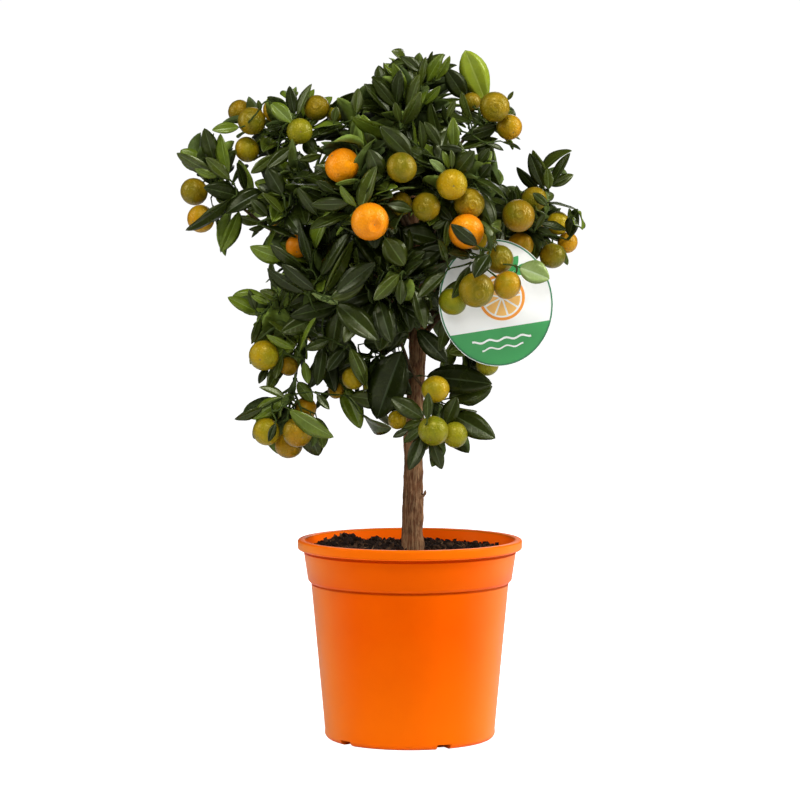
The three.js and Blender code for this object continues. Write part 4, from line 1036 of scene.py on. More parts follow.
def tube(limb, sides, step, radius_at=None, start=0.0, end=1.0, tip=0.4):
    """Corners and faces of a closed tube, with a ring every `step` millimetres. `radius_at` gives
    the radius from the share and the limb's own radius."""
    count = max(2, round(limb.length * (end - start) / step))
    verts = []
    toward = square_to(limb.at(start)[1])
    for i in range(count + 1):
        share = lerp(start, end, i / count)
        point, heading, radius = limb.at(share)
        if radius_at:
            radius = radius_at(share, radius)
        toward = square_share(toward, heading)
        over = heading.cross(toward)
        verts += [point + slanted(toward, over, TURN * k / sides) * radius for k in range(sides)]
    first, last, ring = len(verts), len(verts) + 1, count * sides
    verts.append(limb.at(start)[0] - limb.at(start)[1] * 0.2)
    verts.append(limb.at(end)[0] + limb.at(end)[1] * tip)
    faces = bands(count + 1, sides)
    faces += [(first, (k + 1) % sides, k) for k in range(sides)]
    faces += [(last, ring + k, ring + (k + 1) % sides) for k in range(sides)]
    return verts, faces


# %% [markdown]
# ## Trunk and boughs
# The trunk is a circle extruded ring by ring along its line. Most of its root flare is below the
# crumbs, so the lowest rings are drawn in a little. The boughs are tubes that start inside it,
# and a short spur is the stub of a cut shoot. Joined and remeshed into one skin, they run into
# one another at the forks as wood does, and a Smooth modifier rounds the collars. Then Displace
# modifiers with clouds drawn out upwards raise the ridges and furrows of the bark.

# %% Extrude the trunk
TRUNK_SIDES = 32
TRUNK_STEP = 4.0
DRAWN_IN = 1.8  # how much slimmer than the solid's the foot is at the soil
UNEVEN = 0.14  # share by which knots swell it
SWAY = Vector((0.9, 0.9, 0))


def extrude_trunk():
    trunk = LIMBS["trunk"]
    rings = round(trunk.length / TRUNK_STEP)
    places = [trunk.at(i / rings) for i in range(rings + 1)]
    start_clean()
    point, _, radius = places[0]
    point, size = point - UP * 3, radius - DRAWN_IN
    bpy.ops.mesh.primitive_circle_add(
        vertices=TRUNK_SIDES, radius=size * MM, location=point * MM, fill_type="NGON")
    item = bpy.context.object
    edit_all()
    for i, (next_point, _, next_radius) in enumerate(places[1:], 1):
        uneven = 1 + UNEVEN * noise.noise(next_point * 0.045)
        next_size = next_radius * uneven - DRAWN_IN * math.exp(-i / 2)
        next_point = next_point + Vector(noise.noise_vector(next_point * 0.03)) * SWAY
        bpy.ops.mesh.extrude_region_move(
            TRANSFORM_OT_translate={"value": (next_point - point) * MM})
        grow = next_size / size
        bpy.ops.transform.resize(value=(grow, grow, 1), center_override=next_point * MM)
        point, size = next_point, next_size
    face_outward()
    bpy.ops.object.transform_apply(location=True, rotation=False, scale=False)
    return item


def lay_faces_in_order(item):
    """Extruding leaves the faces in a chance order, and the remesh would differ with it."""
    faces = []
    for face in item.data.polygons:
        ring = list(face.vertices)
        first = ring.index(min(ring))
        faces.append(ring[first:] + ring[:first])
    places = [vertex.co.copy() for vertex in item.data.vertices]
    item.data.clear_geometry()
    item.data.from_pydata(places, [], sorted(faces))


wood = extrude_trunk()
lay_faces_in_order(wood)
print("trunk corners:", len(wood.data.vertices))


# %% Lay the boughs, and join them into one skin
def knotty(seed):
    def radius_at(share, radius):
        knots = noise.noise(Vector((share * 9 + seed * 7.3, seed, 0)))
        return radius * (1 + 0.16 * knots + 0.35 * math.exp(-share * 22))
    return radius_at


bough_heap = Heap()
for seed, (name, limb) in enumerate(LIMBS.items()):
    if name != "trunk":
        bough_heap.add(*tube(limb, 12, 2.0, knotty(seed)), 0)
VOXEL = 0.95
spur = Limb([Vector((6, -6, 224)), Vector((12.4, -7, 227.5)), Vector((14.6, -7, 232.5))],
            [1.7, 1.2, 0.8])
bough_heap.add(*tube(spur, 12, 1.5), 0)
boughs = bough_heap.piece("boughs", [])
pick(wood, boughs)
bpy.ops.object.join()
remesh = wood.modifiers.new("skin", "REMESH")
remesh.mode = "VOXEL"
remesh.voxel_size = VOXEL * MM
smooth = wood.modifiers.new("collars", "SMOOTH")
smooth.factor, smooth.iterations = 0.5, 3
apply_modifiers(wood)
print("wood corners after the remesh:", len(wood.data.vertices))


# %% Raise the bark
BARK_STRETCH = 9
BARK_CLOUDS = (("bark_ridges", 3.6, 1.5), ("bark_furrows", 1.5, 0.8))
TRUNK_RISE = 364  # from the soil to its tip
OLD_BARK = 1.5  # how far out the trunk's bark reaches, in radii of the trunk
YOUNG_RELIEF = 0.35  # share of the old bark's relief that the boughs get


def off_trunk(place):
    """How far a place is from the trunk's line, in radii of the trunk."""
    share = min(1, max(0, (place.z - SOIL_LEVEL) / TRUNK_RISE))
    point, _, radius = LIMBS["trunk"].at(share)
    return (place - point).length / radius


def raise_bark(item, group):
    """Clouds drawn out along the trunk, for ridges and furrows, and then small lumps."""
    start_clean()
    bpy.ops.object.empty_add(location=(0, 0, 0))
    grain = bpy.context.object
    grain.scale = (1, 1, BARK_STRETCH)
    for name, size, strength in BARK_CLOUDS:
        modifier = displace(item, clouds(name, size), strength, "NORMAL", group)
        modifier.texture_coords = "OBJECT"
        modifier.texture_coords_object = grain
    displace(item, clouds("bark_lumps", 11), 1.6, "NORMAL", group)
    apply_modifiers(item)
    bpy.data.objects.remove(grain)


near = wood.vertex_groups.new(name="old_bark")
for vertex in wood.data.vertices:
    near.add([vertex.index], 1 if off_trunk(vertex.co / MM) < OLD_BARK else YOUNG_RELIEF, "REPLACE")
raise_bark(wood, "old_bark")
wood.data.materials.clear()
wood.data.materials.append(BARK_OLD)
wood.data.materials.append(BARK_YOUNG)
for face in wood.data.polygons:
    face.material_index = 0 if off_trunk(face.center / MM) < OLD_BARK else 1
pick(wood)
bpy.ops.object.shade_smooth()
finished(wood, "wood", ["trunk"] + ["bough_" + name for name in BOUGHS])

# %% [markdown]
# ## The label
# A stiff printed card hangs by the hole in its neck from the lower right bough. It is egg-shaped,
# white, with a thin green line along its edge and a green foot, and carries a drawing of a halved
# orange with two leaves. The card is a circle drawn out, cut flat and extruded. Its print is a
# set of thin plates set a hair's breadth in front.

# %% The card
LABEL = {
    "centre": (78, -70, 410), "half_width": 52, "half_height": 58, "thickness": 0.8,
    "lean": math.radians(9), "neck": 8, "neck_top": 72, "hole": 5, "hole_up": 64,
}
PRINT_GAP = 0.06  # between the layers of the print
LABEL_PLACE = Matrix.Translation(LABEL["centre"]) @ Matrix.Rotation(-LABEL["lean"], 4, "Y")


def plate(outline, front, back, material, name):
    """A thin plate with a given outline, in the card's own plane: x across, z up. It reaches from
    `front` to `back` millimetres before the card's middle."""
    start_clean()
    bpy.ops.mesh.primitive_circle_add(vertices=len(outline), radius=1, fill_type="NGON")
    item = bpy.context.object
    for vertex, (x, z) in zip(item.data.vertices, outline):
        vertex.co = Vector((x, -back, z)) * MM
    edit_all()
    bpy.ops.mesh.extrude_region_move(
        TRANSFORM_OT_translate={"value": (0, -(front - back) * MM, 0)})
    face_outward()
    item.data.materials.append(material)
    item.name = name
    return item


def oval(half_width, half_height, centre=(0, 0), start=0.0, end=360.0, steps=72):
    """Points on an oval, from one angle in degrees to another."""
    count = steps if end - start >= 360 else steps + 1
    angles = [math.radians(lerp(start, end, k / steps)) for k in range(count)]
    return [(centre[0] + half_width * math.cos(a), centre[1] + half_height * math.sin(a))
            for a in angles]


def card_outline():
    neck, top, corner = LABEL["neck"], LABEL["neck_top"], 3
    side = math.degrees(math.acos(neck / LABEL["half_width"]))
    body = oval(
        LABEL["half_width"], LABEL["half_height"], start=180 - side, end=360 + side, steps=90)
    return body + [
        (neck, top - corner), (neck - 0.9, top - 0.9), (neck - corner, top),
        (corner - neck, top), (0.9 - neck, top - 0.9), (-neck, top - corner)]


half = LABEL["thickness"] / 2
card_body = plate(card_outline(), half, -half, LABEL_CARD, "card")
start_clean()
bpy.ops.mesh.primitive_cylinder_add(
    vertices=48, radius=LABEL["hole"] * MM, depth=20 * MM,
    location=(0, 0, LABEL["hole_up"] * MM), rotation=(math.pi / 2, 0, 0))
cut(card_body, bpy.context.object)
print("card corners:", len(card_body.data.vertices))


# %% The print
def ring_plate(outer, inner, layer, material, name):
    """A line of print between two outlines with as many points."""
    count = len(outer)
    front = half + PRINT_GAP * layer
    verts = [(x, y, z) for y in (-half + 0.2, -front) for line in (outer, inner) for x, z in line]
    faces = []
    for k in range(count):
        n = (k + 1) % count
        back_outer, back_inner, top_outer, top_inner = (i * count for i in range(4))
        faces += [
            (top_outer + k, top_outer + n, top_inner + n, top_inner + k),
            (back_outer + k, back_inner + k, back_inner + n, back_outer + n),
            (back_outer + k, back_outer + n, top_outer + n, top_outer + k),
            (back_inner + k, top_inner + k, top_inner + n, back_inner + n)]
    return mesh_piece(name, verts, faces, [0] * len(faces), [material], smooth=False)


def leaf_outline(root, angle, length, width):
    """A pointed leaf for the print."""
    points = []
    for side in (1, -1):
        for k in range(12):
            s = k / 12 if side == 1 else 1 - k / 12
            x, z = s * length, side * width * math.sin(math.pi * s) ** 0.9
            points.append((root[0] + x * math.cos(angle) - z * math.sin(angle),
                           root[1] + x * math.sin(angle) + z * math.cos(angle)))
    return points


def sector(centre, radius, start, end, inner):
    """One wedge of a cut orange, with its point at `inner` from the middle."""
    middle = math.radians((start + end) / 2)
    point = (centre[0] + inner * math.cos(middle), centre[1] + inner * math.sin(middle))
    return [point] + oval(radius, radius, centre, start, end, 10)


def print_plate(outline, layer, material, name):
    """A plate of print that reaches a few layers before the card's face."""
    return plate(outline, half + layer * PRINT_GAP, half - 0.2, material, name)


hw, hh = LABEL["half_width"], LABEL["half_height"]
printed = [
    ring_plate(oval(hw - 0.5, hh - 0.5), oval(hw - 1.9, hh - 1.9), 1, LABEL_EDGE, "border"),
    print_plate(
        oval(hw - 1.7, hh - 1.7, start=204.5, end=335.5, steps=40), 1, LABEL_GREEN, "foot")]
for rank, (width, z) in enumerate(((27, -33.5), (19, -41))):
    crest = [(x, z + 1.1 * math.sin(x * 0.42) + 0.9) for x in np.linspace(-width, width, 25)]
    trough = [(x, y - 1.9 + 0.4 * rank) for x, y in reversed(crest)]
    printed.append(print_plate(crest + trough, 2, LABEL_CARD, "wave"))
orange_at = (6, 4)
printed.append(print_plate(oval(21, 21, orange_at), 1, LABEL_ORANGE, "peel"))
printed.append(print_plate(oval(18.4, 18.4, orange_at), 2, LABEL_CARD, "pith"))
for start in range(0, 360, 40):
    wedge = sector(orange_at, 16.8, start + 3, start + 37, 2.2)
    printed.append(print_plate(wedge, 3, LABEL_PULP, "wedge"))
for angle in (35, 68):
    root = (orange_at[0] + 16 * math.cos(math.radians(angle)), orange_at[1] + 20)
    outline = leaf_outline(root, math.radians(angle - 22), 21, 5)
    printed.append(print_plate(outline, 4, LABEL_GREEN, "print_leaf"))
pick(card_body, *printed)
bpy.ops.object.join()
card_body.data.transform(Matrix.Scale(MM, 4) @ LABEL_PLACE @ Matrix.Scale(1 / MM, 4))
finished(card_body, "label_card", ["label"])

# %% [markdown]
# ## Growing the crown
# Every mass has a stem that carries on from its bough, shoots that fork off the stem, and leaves
# and fruit on the shoots. A leaf or a shoot is offered at a few turns, and stays at the first one
# that clears what is there already. So the rule needs quick tests for collision: small closed
# shapes as search trees, and the boxes round them, which sort out most pairs at once.

# %% Sizes of twigs and leaves
TWIG = {"stem": 1.7, "shoot": 1.35, "tip": 0.9, "stalk": 0.8, "root_height": 1.6, "bend": 0.4}
STEM = {
    "short_by": 0.15, "forks": (0.2, 0.96), "shifts": (0, -0.12, 0.12, -0.25, 0.25, -0.4),
    "gap": 2.2, "foot": 4, "least_fork": 0.7,
}
REACHING = {
    "spread": (0.95, 1.1), "sizes": (1, 0.85, 0.7), "rolls": (0, 0.6, -0.6, 1.2),
    "forks": (0.5, 0.9),
}
FAN = {
    "spread": 1.45, "reach": (0.36, 0.58), "forks": (0.94, 0.3), "turns": (0, 0.8, -0.8, 1.7, -1.7),
    "turn_spread": 0.3,
}
LEAF = {
    "length": 45, "length_spread": (0.8, 1.16), "width": 0.49, "width_spread": (0.88, 1.12),
    "thickness": 0.6, "belly": 0.52, "rise": 0.02, "spacing": 9, "least": 4, "leafy": (0.3, 0.93),
    "pitch": (0.7, 1.1), "end_pitch": (0.05, 0.3), "turn_spread": 0.4, "droop": 0.12, "tries": 7,
    "try_turn": 0.95, "foot": 0.13, "reach_over": 8,
}
FACING = {"random": 0.8, "up": 0.9, "outward": 0.7}
FRUIT = {"shares": (0.22, 0.4, 0.5, 0.6, 0.72, 0.85), "least_slant": 0.35, "stalk_foot": 2.5,
         "stalk_short": 1}
SEED, SEED_STEP = 20471, 977
CROWN_HEART = Vector((-10, 0, 440))
# Openings of the crown: x and z, as they are seen from the front, and a radius.
OPENINGS = [
    (94, 627, 21), (-223, 529, 15), (-141, 618, 19), (-163, 386, 16), (-161, 326, 19),
    (-72, 307, 10), (151, 510, 12), (89, 532, 9), (111, 595, 16), (-208, 558, 9), (131, 561, 18),
    (70, 314, 9), (45, 257, 12), (101, 543, 8), (-156, 289, 10), (-188, 591, 20), (167, 537, 17),
    (-52, 372, 6), (93, 522, 7), (-157, 476, 7), (21, 356, 5), (-137, 466, 7), (-146, 434, 13),
    (-161, 424, 10), (-63, 620, 18), (-92, 532, 5), (-140, 525, 5), (-36, 363, 5), (108, 513, 5),
    (-65, 278, 11), (-31, 279, 11), (-171, 356, 14), (-159, 367, 9), (-45, 372, 8),
]


# %% Shapes to try a place with
LEAF_PROBE_FACES = [(0, 1, 2), (0, 3, 2), (2, 3, 4), (2, 4, 1), (1, 4, 5), (1, 5, 0), (0, 5, 3),
                    (3, 4, 6), (4, 5, 6), (5, 3, 6)]


def probe(verts, faces):
    """A shape's search tree, and the two corners of the box round it."""
    corners = np.array(verts)
    return BVHTree.FromPolygons(verts, faces), corners.min(0), corners.max(0)


def leaf_point(leaf, share):
    return leaf["root"] + leaf["axis"] * share * leaf["length"]


def leaf_tip(leaf):
    return leaf_point(leaf, 1)


def leaf_probe(leaf, foot, margin):
    """The leaf's flat lens, from a share of its length on, grown by a margin."""
    axis, face = leaf["axis"], leaf["face"]
    side = axis.cross(face)
    length, width = leaf["length"] + 2 * margin, leaf["width"] + 4 * margin
    thick = LEAF["thickness"] + 2 * margin
    root = leaf["root"] + face * margin
    start = leaf_point(leaf, foot)
    reach = LEAF["thickness"] + margin
    belly = root + axis * LEAF["belly"] * length
    rise = face * LEAF["rise"] * width
    return probe([
        start + face * reach, start - (face + side) * 0.6 * reach,
        start - (face - side) * 0.6 * reach, belly + side * width / 2 + rise,
        belly - face * thick, belly - side * width / 2 + rise, root + axis * length,
    ], LEAF_PROBE_FACES)


def twig_probe(limb, foot, margin):
    """A three-sided tube that begins `foot` millimetres up the twig."""
    verts = []
    around = square_to(limb.at(0)[1])
    for share in (foot / limb.length, 0.35, 0.65, 1):
        point, heading, radius = limb.at(share)
        across = square_share(around, heading)
        verts += [point + turned(across, heading, TURN * (k - 0.5) / 3) * (radius + margin)
                  for k in range(3)]
    return probe(verts, bands(4, 3) + [(0, 2, 1), (9, 10, 11)])


def ball_probe(centre, radius, margin):
    verts = []
    for j in range(1, 6):
        for k in range(8):
            polar, turn = math.pi * j / 6, TURN * k / 8
            verts.append(centre + (radius + margin) * Vector(
                (math.sin(polar) * math.cos(turn), math.sin(polar) * math.sin(turn),
                 math.cos(polar))))
    return probe(verts, bands(5, 8) + [tuple(range(8)), tuple(range(32, 40))])


# %% What stands where
class Room:
    """All shapes that have their place, each with its owner, its search tree and its box."""

    def __init__(self, capacity=9000):
        self.low = np.full((capacity, 3), np.inf)
        self.high = np.full((capacity, 3), -np.inf)
        self.owner = np.full(capacity, -1)
        self.trees = []

    def add(self, owner, shape):
        i = len(self.trees)
        self.trees.append(shape[0])
        self.low[i], self.high[i], self.owner[i] = shape[1], shape[2], owner

    def forget(self, first, owner):
        """Drops what an owner has placed since a given count."""
        dropped = np.arange(len(self.owner)) >= first
        self.low[dropped & (self.owner == owner)] = np.inf

    def meets(self, shape, owner=-1, own=False):
        """Whether a shape runs into anything of its own owner, or of all the others. Without an
        owner, it is tried with everything."""
        tree, low, high = shape
        near = ((self.low <= high) & (self.high >= low)).all(1)
        near &= (self.owner == owner) if own else (self.owner != owner)
        return any(tree.overlap(self.trees[i]) for i in np.flatnonzero(near))


room = Room()
OTHERS = 1000  # the owner number of wood, card and the noticeable leaves
for limb in LIMBS.values():
    room.add(OTHERS, probe(*tube(limb, 8, 12)))
card_faces = [tuple(p.vertices) for p in card_body.data.polygons]
room.add(OTHERS, probe([v.co / MM for v in card_body.data.vertices], card_faces))
NAMES = list(MASSES)
for owner, name in enumerate(NAMES):
    for x, y, z, radius in MASSES[name]["fruit"]:
        room.add(owner, ball_probe(Vector((x, y, z)), radius, FACET_GAP))
print("places taken at the start:", len(room.trees))


# %% [markdown]
# ### Leaves that catch the eye
# The rule gives a crown of the right kind, but each tree has its own leaves in front. Those are
# placed one by one, as in a drawing from the front: where each begins and ends, and how wide it
# looks. The space of the masses gives the depth. A leaf that looks narrower than its kind is
# turned on its axis. They take their places first, and the rest grows round and behind them.

# %% Leaves placed one by one
# Root x and z, tip x and z, width, and look: dark, deep, mid, fresh, young or pale, with a plus
# sign when the leaf lies in front of a fruit. All are as seen from the camera, in millimetres, on
# the upright plane through the trunk.
NOTICEABLE = [
    (-65, 335, -46, 290, 20, "F"), (-117, 311, -71, 282, 15, "F+"), (75, 455, 60, 431, 16, "K+"),
    (-97, 438, -130, 462, 10, "D+"), (-92, 440, -102, 479, 12, "K+"), (-65, 405, -73, 362, 21, "D"),
    (-84, 368, -70, 324, 19, "K"), (-60, 366, -77, 344, 13, "K"), (-80, 372, -87, 330, 15, "K"),
    (-78, 363, -94, 328, 14, "K"), (-176, 524, -217, 547, 9, "M"), (-177, 524, -200, 532, 7, "F"),
    (-181, 535, -191, 570, 16, "D"), (-168, 523, -176, 565, 12, "F"),
    (-156, 571, -184, 568, 11, "F+"), (-145, 503, -159, 541, 12, "F"),
    (-152, 510, -161, 538, 8, "K"), (-124, 547, -148, 528, 9, "M"), (-107, 554, -133, 533, 13, "D"),
    (-117, 506, -133, 533, 17, "K"), (-127, 511, -141, 517, 9, "K"), (-138, 586, -141, 596, 5, "M"),
    (-131, 595, -110, 575, 15, "F+"), (-107, 580, -112, 609, 11, "K"),
    (-106, 579, -91, 611, 9, "M"), (-117, 572, -134, 568, 7, "K"), (-155, 506, -192, 515, 18, "K+"),
    (-161, 508, -209, 475, 7, "D+"), (-185, 505, -176, 454, 8, "M"),
    (-157, 497, -176, 455, 10, "F"), (-147, 496, -176, 501, 8, "D"), (-136, 481, -164, 489, 7, "M"),
    (-131, 487, -148, 504, 12, "D"), (-142, 481, -105, 468, 7, "D"), (-116, 489, -138, 510, 9, "M"),
    (-165, 520, -190, 543, 12, "M"), (-76, 588, -51, 603, 7, "D"), (-50, 581, -48, 607, 11, "M"),
    (-71, 574, -68, 590, 8, "M"), (-60, 575, -91, 569, 7, "F"), (-16, 582, -43, 611, 12, "D"),
    (-11, 587, -35, 616, 12, "D"), (0, 559, -55, 581, 8, "F"), (5, 539, -28, 572, 19, "D"),
    (-47, 488, -31, 535, 15, "M"), (-69, 510, -87, 521, 10, "K"), (-79, 530, -90, 534, 4, "K"),
    (-79, 531, -88, 527, 4, "K"), (-105, 540, -82, 545, 7, "M"), (-48, 495, -65, 517, 7, "F"),
    (11, 621, -8, 636, 11, "D"), (-3, 601, -16, 630, 10, "F"), (-14, 585, -9, 624, 14, "K"),
    (-3, 581, 9, 620, 14, "M"), (10, 606, 15, 636, 6, "M"), (19, 622, 21, 641, 5, "D"),
    (14, 610, 31, 639, 11, "F"), (22, 612, 37, 637, 7, "F"), (11, 590, 28, 609, 8, "F"),
    (1, 576, 16, 604, 9, "F"), (-8, 569, 10, 604, 12, "M"), (-9, 574, -14, 594, 8, "M"),
    (53, 595, 33, 625, 19, "K"), (52, 588, 53, 615, 8, "M"), (74, 585, 51, 642, 27, "Y"),
    (48, 599, 56, 579, 9, "M"), (41, 548, 40, 580, 11, "F"), (85, 573, 47, 560, 12, "D"),
    (42, 549, 82, 560, 12, "M"), (51, 549, 27, 553, 7, "K"), (6, 540, 2, 580, 6, "F"),
    (12, 546, 9, 577, 9, "D"), (30, 551, 13, 576, 11, "D"), (29, 555, 19, 594, 11, "D"),
    (37, 531, 30, 549, 7, "F"), (39, 531, 38, 550, 6, "M"), (35, 527, 18, 541, 8, "P"),
    (41, 526, 60, 549, 16, "D"), (63, 537, 74, 551, 10, "D"), (64, 523, 75, 537, 11, "K"),
    (70, 556, 87, 549, 6, "K"), (84, 558, 103, 550, 5, "K"), (90, 595, 96, 604, 4, "M"),
    (89, 503, 76, 532, 7, "D"), (103, 499, 99, 517, 6, "D"), (96, 499, 95, 513, 8, "K"),
    (94, 504, 90, 515, 4, "M"), (121, 510, 99, 534, 7, "K"), (125, 512, 111, 547, 12, "K"),
    (129, 521, 114, 550, 7, "M"), (129, 511, 128, 533, 10, "M"), (128, 513, 149, 547, 10, "D"),
    (129, 515, 152, 527, 10, "M"), (121, 502, 156, 494, 5, "D"), (-123, 417, -129, 448, 8, "D"),
    (-95, 415, -133, 440, 12, "K"), (-86, 417, -119, 444, 12, "K"), (-120, 410, -140, 419, 11, "M"),
    (-143, 399, -150, 420, 8, "D"), (-140, 398, -170, 413, 12, "F"), (-131, 406, -148, 414, 7, "F"),
    (-134, 478, -150, 476, 5, "D"), (-50, 493, -93, 476, 13, "D"), (-86, 421, -93, 457, 11, "K"),
    (-82, 412, -53, 467, 11, "M"), (-86, 429, -57, 473, 12, "D"), (-72, 414, -32, 445, 19, "K"),
    (-77, 410, -42, 427, 12, "M"), (-84, 486, -105, 515, 11, "D"), (-53, 500, -92, 499, 12, "D"),
    (-24, 500, 2, 494, 12, "D+"), (29, 466, -8, 475, 21, "D"), (-25, 471, -5, 442, 22, "M"),
    (36, 439, 7, 412, 14, "D"), (-7, 437, -34, 410, 13, "M"), (-8, 432, -9, 406, 11, "D"),
    (58, 430, 28, 413, 12, "M"), (34, 484, 21, 477, 8, "D"), (37, 492, 33, 458, 8, "M"),
    (24, 500, 39, 484, 11, "K"), (65, 459, 38, 481, 12, "K+"), (57, 445, 39, 412, 11, "D"),
    (88, 487, 81, 455, 9, "K"), (66, 506, 96, 494, 8, "D"), (118, 482, 146, 475, 9, "K+"),
    (109, 480, 141, 464, 11, "D"), (116, 475, 126, 491, 7, "D"), (117, 502, 125, 488, 7, "M"),
    (99, 442, 130, 430, 22, "P+"), (96, 435, 76, 441, 5, "D"), (-138, 396, -148, 369, 5, "D"),
    (-102, 365, -132, 391, 8, "M"), (-105, 363, -134, 378, 7, "F"), (-83, 395, -120, 380, 19, "D"),
    (-104, 360, -88, 394, 7, "F"), (-104, 368, -106, 345, 9, "F"), (-99, 355, -95, 332, 9, "F"),
    (-132, 349, -141, 332, 8, "K"), (-58, 407, -92, 417, 5, "P"), (-64, 406, -112, 395, 17, "K"),
    (-72, 410, -29, 372, 23, "D"), (-30, 414, -17, 370, 20, "K"), (-135, 311, -164, 299, 7, "D"),
    (-114, 321, -148, 299, 16, "F"), (-114, 318, -141, 329, 8, "M"),
    (-121, 349, -133, 325, 11, "M"), (-106, 336, -91, 315, 13, "F"),
    (-125, 297, -132, 278, 7, "K+"), (-70, 330, -88, 308, 7, "K"), (-57, 369, -41, 330, 13, "M+"),
    (-5, 370, -31, 299, 37, "K"), (16, 298, -18, 319, 17, "D"), (14, 298, -8, 290, 9, "M"),
    (14, 293, -6, 277, 9, "D"), (0, 290, -16, 282, 7, "K"), (14, 290, -1, 251, 15, "K"),
    (19, 282, 30, 252, 13, "D"), (16, 296, 17, 324, 9, "D+"), (32, 292, 44, 320, 16, "D"),
    (33, 307, 80, 281, 23, "D"), (9, 340, 77, 332, 28, "K"), (4, 386, 35, 352, 19, "K"),
    (36, 404, 27, 362, 12, "D"), (3, 424, 14, 383, 13, "D"), (19, 413, 5, 390, 11, "K"),
    (58, 367, 36, 361, 15, "M"), (56, 577, 48, 604, 8, "M+"), (72, 570, 51, 586, 11, "D"),
    (55, 570, 50, 593, 9, "M"), (39, 568, 31, 592, 8, "K"), (34, 578, 42, 596, 7, "M"),
    (129, 497, 114, 510, 9, "D+"), (-116, 355, -133, 330, 13, "M"), (-118, 362, -126, 336, 9, "M"),
    (-88, 324, -75, 308, 8, "D"), (-73, 374, -98, 364, 11, "D"),
]
LOOKS = {"K": "dark", "D": "deep", "M": "mid", "F": "fresh", "Y": "young", "P": "pale"}
EYE = Vector(CAMERA_PLACE)
SLIM = 0.36  # width for its length of a leaf that is seen flat
BACK = 50  # masses further off than this are behind the trunk
SHIFTS = (0, 4, -4, 8, -8, 13, -12, 18, 24, 32, 40)  # depths that a leaf is tried at
FRONT_SHIFTS = (0, -4, -8, -12, -17)  # the same for one in front of a fruit


def seen_from_front(point):
    """Where a point shows on the upright plane through the trunk."""
    return EYE + (point - EYE) * EYE.y / (EYE.y - point.y)


def at_depth(x, z, y):
    """The point at a depth that shows at x and z of that plane."""
    return EYE + (Vector((x, 0, z)) - EYE) * (y - EYE.y) / -EYE.y


def crown_front(x, z):
    """How near the crown's masses come to the camera at a place of the plane."""
    choices = []
    for mass in MASSES.values():
        centre, size = Vector(mass["centre"]), mass["size"]
        if centre.y > BACK:
            continue
        seen = seen_from_front(centre)
        off = ((x - seen.x) / size[0]) ** 2 + ((z - seen.z) / size[2]) ** 2
        choices.append((max(1, off), centre.y - 0.85 * size[1] * math.sqrt(max(0, 1 - off))))
    return min(choices)[1]


ALL_FRUIT = [(name, Vector(row[:3]), row[3]) for name in NAMES for row in MASSES[name]["fruit"]]
FRUIT_SEEN = np.array([(*seen_from_front(place), radius, place.y)
                       for _, place, radius in ALL_FRUIT if place.y < -5])


def place_by_hand(row, draw):
    """A leaf of the table, at the first depth where it meets nothing."""
    x0, z0, x1, z1, width, look = row
    ends = np.array([(x0, z0), (x1, z1)])
    depth = crown_front((x0 + x1) / 2, (z0 + z1) / 2)
    in_front = look.endswith("+")
    for x, _, z, radius, y in FRUIT_SEEN:
        nearest = min(math.hypot(*(ends[0] + (ends[1] - ends[0]) * t - (x, z)))
                      for t in (0.1, 0.35, 0.6, 0.85, 1))
        if nearest < radius + 0.3 * width:
            depth = min(depth, y - radius - 2) if in_front else max(depth, y + 2)
    slope, roll = draw(-0.1, 0.5), draw()
    length = math.hypot(x1 - x0, z1 - z0)
    real_width = max(width, SLIM * length)
    roll = math.acos(min(1, width / real_width)) * (1 if roll < 0.8 else -1)
    for shift in FRONT_SHIFTS if in_front else SHIFTS:
        root = at_depth(x0, z0, depth + shift + slope * length / 2)
        tip = at_depth(x1, z1, depth + shift - slope * length / 2)
        axis = (tip - root).normalized()
        face = square_share(Vector((draw(-0.25, 0.25), -1, 0.25)), axis)
        over = 1 if axis.cross(face).z * axis.x >= 0 else -1
        face = turned(face, axis, roll * over)
        leaf = {"root": root, "axis": axis, "face": face, "width": real_width,
                "length": (tip - root).length, "tint": LOOKS[look[0]], "seen": (row, root.y, tip.y)}
        if not room.meets(leaf_probe(leaf, 0, 0)):
            room.add(OTHERS, leaf_probe(leaf, 0, FACET_GAP))
            return leaf
    print("no place for the leaf", row)
    return None


draw = make_random(3301)
noticeable = [leaf for leaf in (place_by_hand(row, draw) for row in NOTICEABLE) if leaf]
print("leaves placed by hand:", len(noticeable), "of", len(NOTICEABLE))


# %% Twigs, and where they may fork
def make_twig(start, tip, heading, first, last):
    """A twig that leaves along `heading` and bends to its tip."""
    bend = start + heading * 0.5 * (tip - start).length
    middle = start.lerp(tip, 0.5).lerp(bend, TWIG["bend"])
    return Limb([start, middle, tip], [first, (first + last) / 2, last], heading)


def grow_stem(name):
    point, heading, _ = LIMBS.get(name, LIMBS["trunk"]).at(1)
    start = point + heading * CLEARANCE
    heart = Vector(MASSES[name]["centre"]).lerp(start, STEM["short_by"])
    return make_twig(start, heart, heading, TWIG["stem"], TWIG["shoot"])


def make_shoot(stem, share, end, first=TWIG["shoot"], last=TWIG["tip"]):
    """A shoot out of the stem's side at a share of its length, with its end at a given place."""
    point, along, _ = stem.at(share)
    away = (end - point).normalized()
    angle = max(STEM["least_fork"], along.angle(away))
    shoot = make_twig(point, end, slanted(along, square_share(away, along), angle), first, last)
    shoot.share = share
    return shoot


def fork_shares(share):
    first, last = STEM["forks"]
    return [share + shift for shift in STEM["shifts"] if first < share + shift < last]


def has_room(twig, share, gap):
    return all(abs(other - share) * twig.length > gap for other in twig.side)


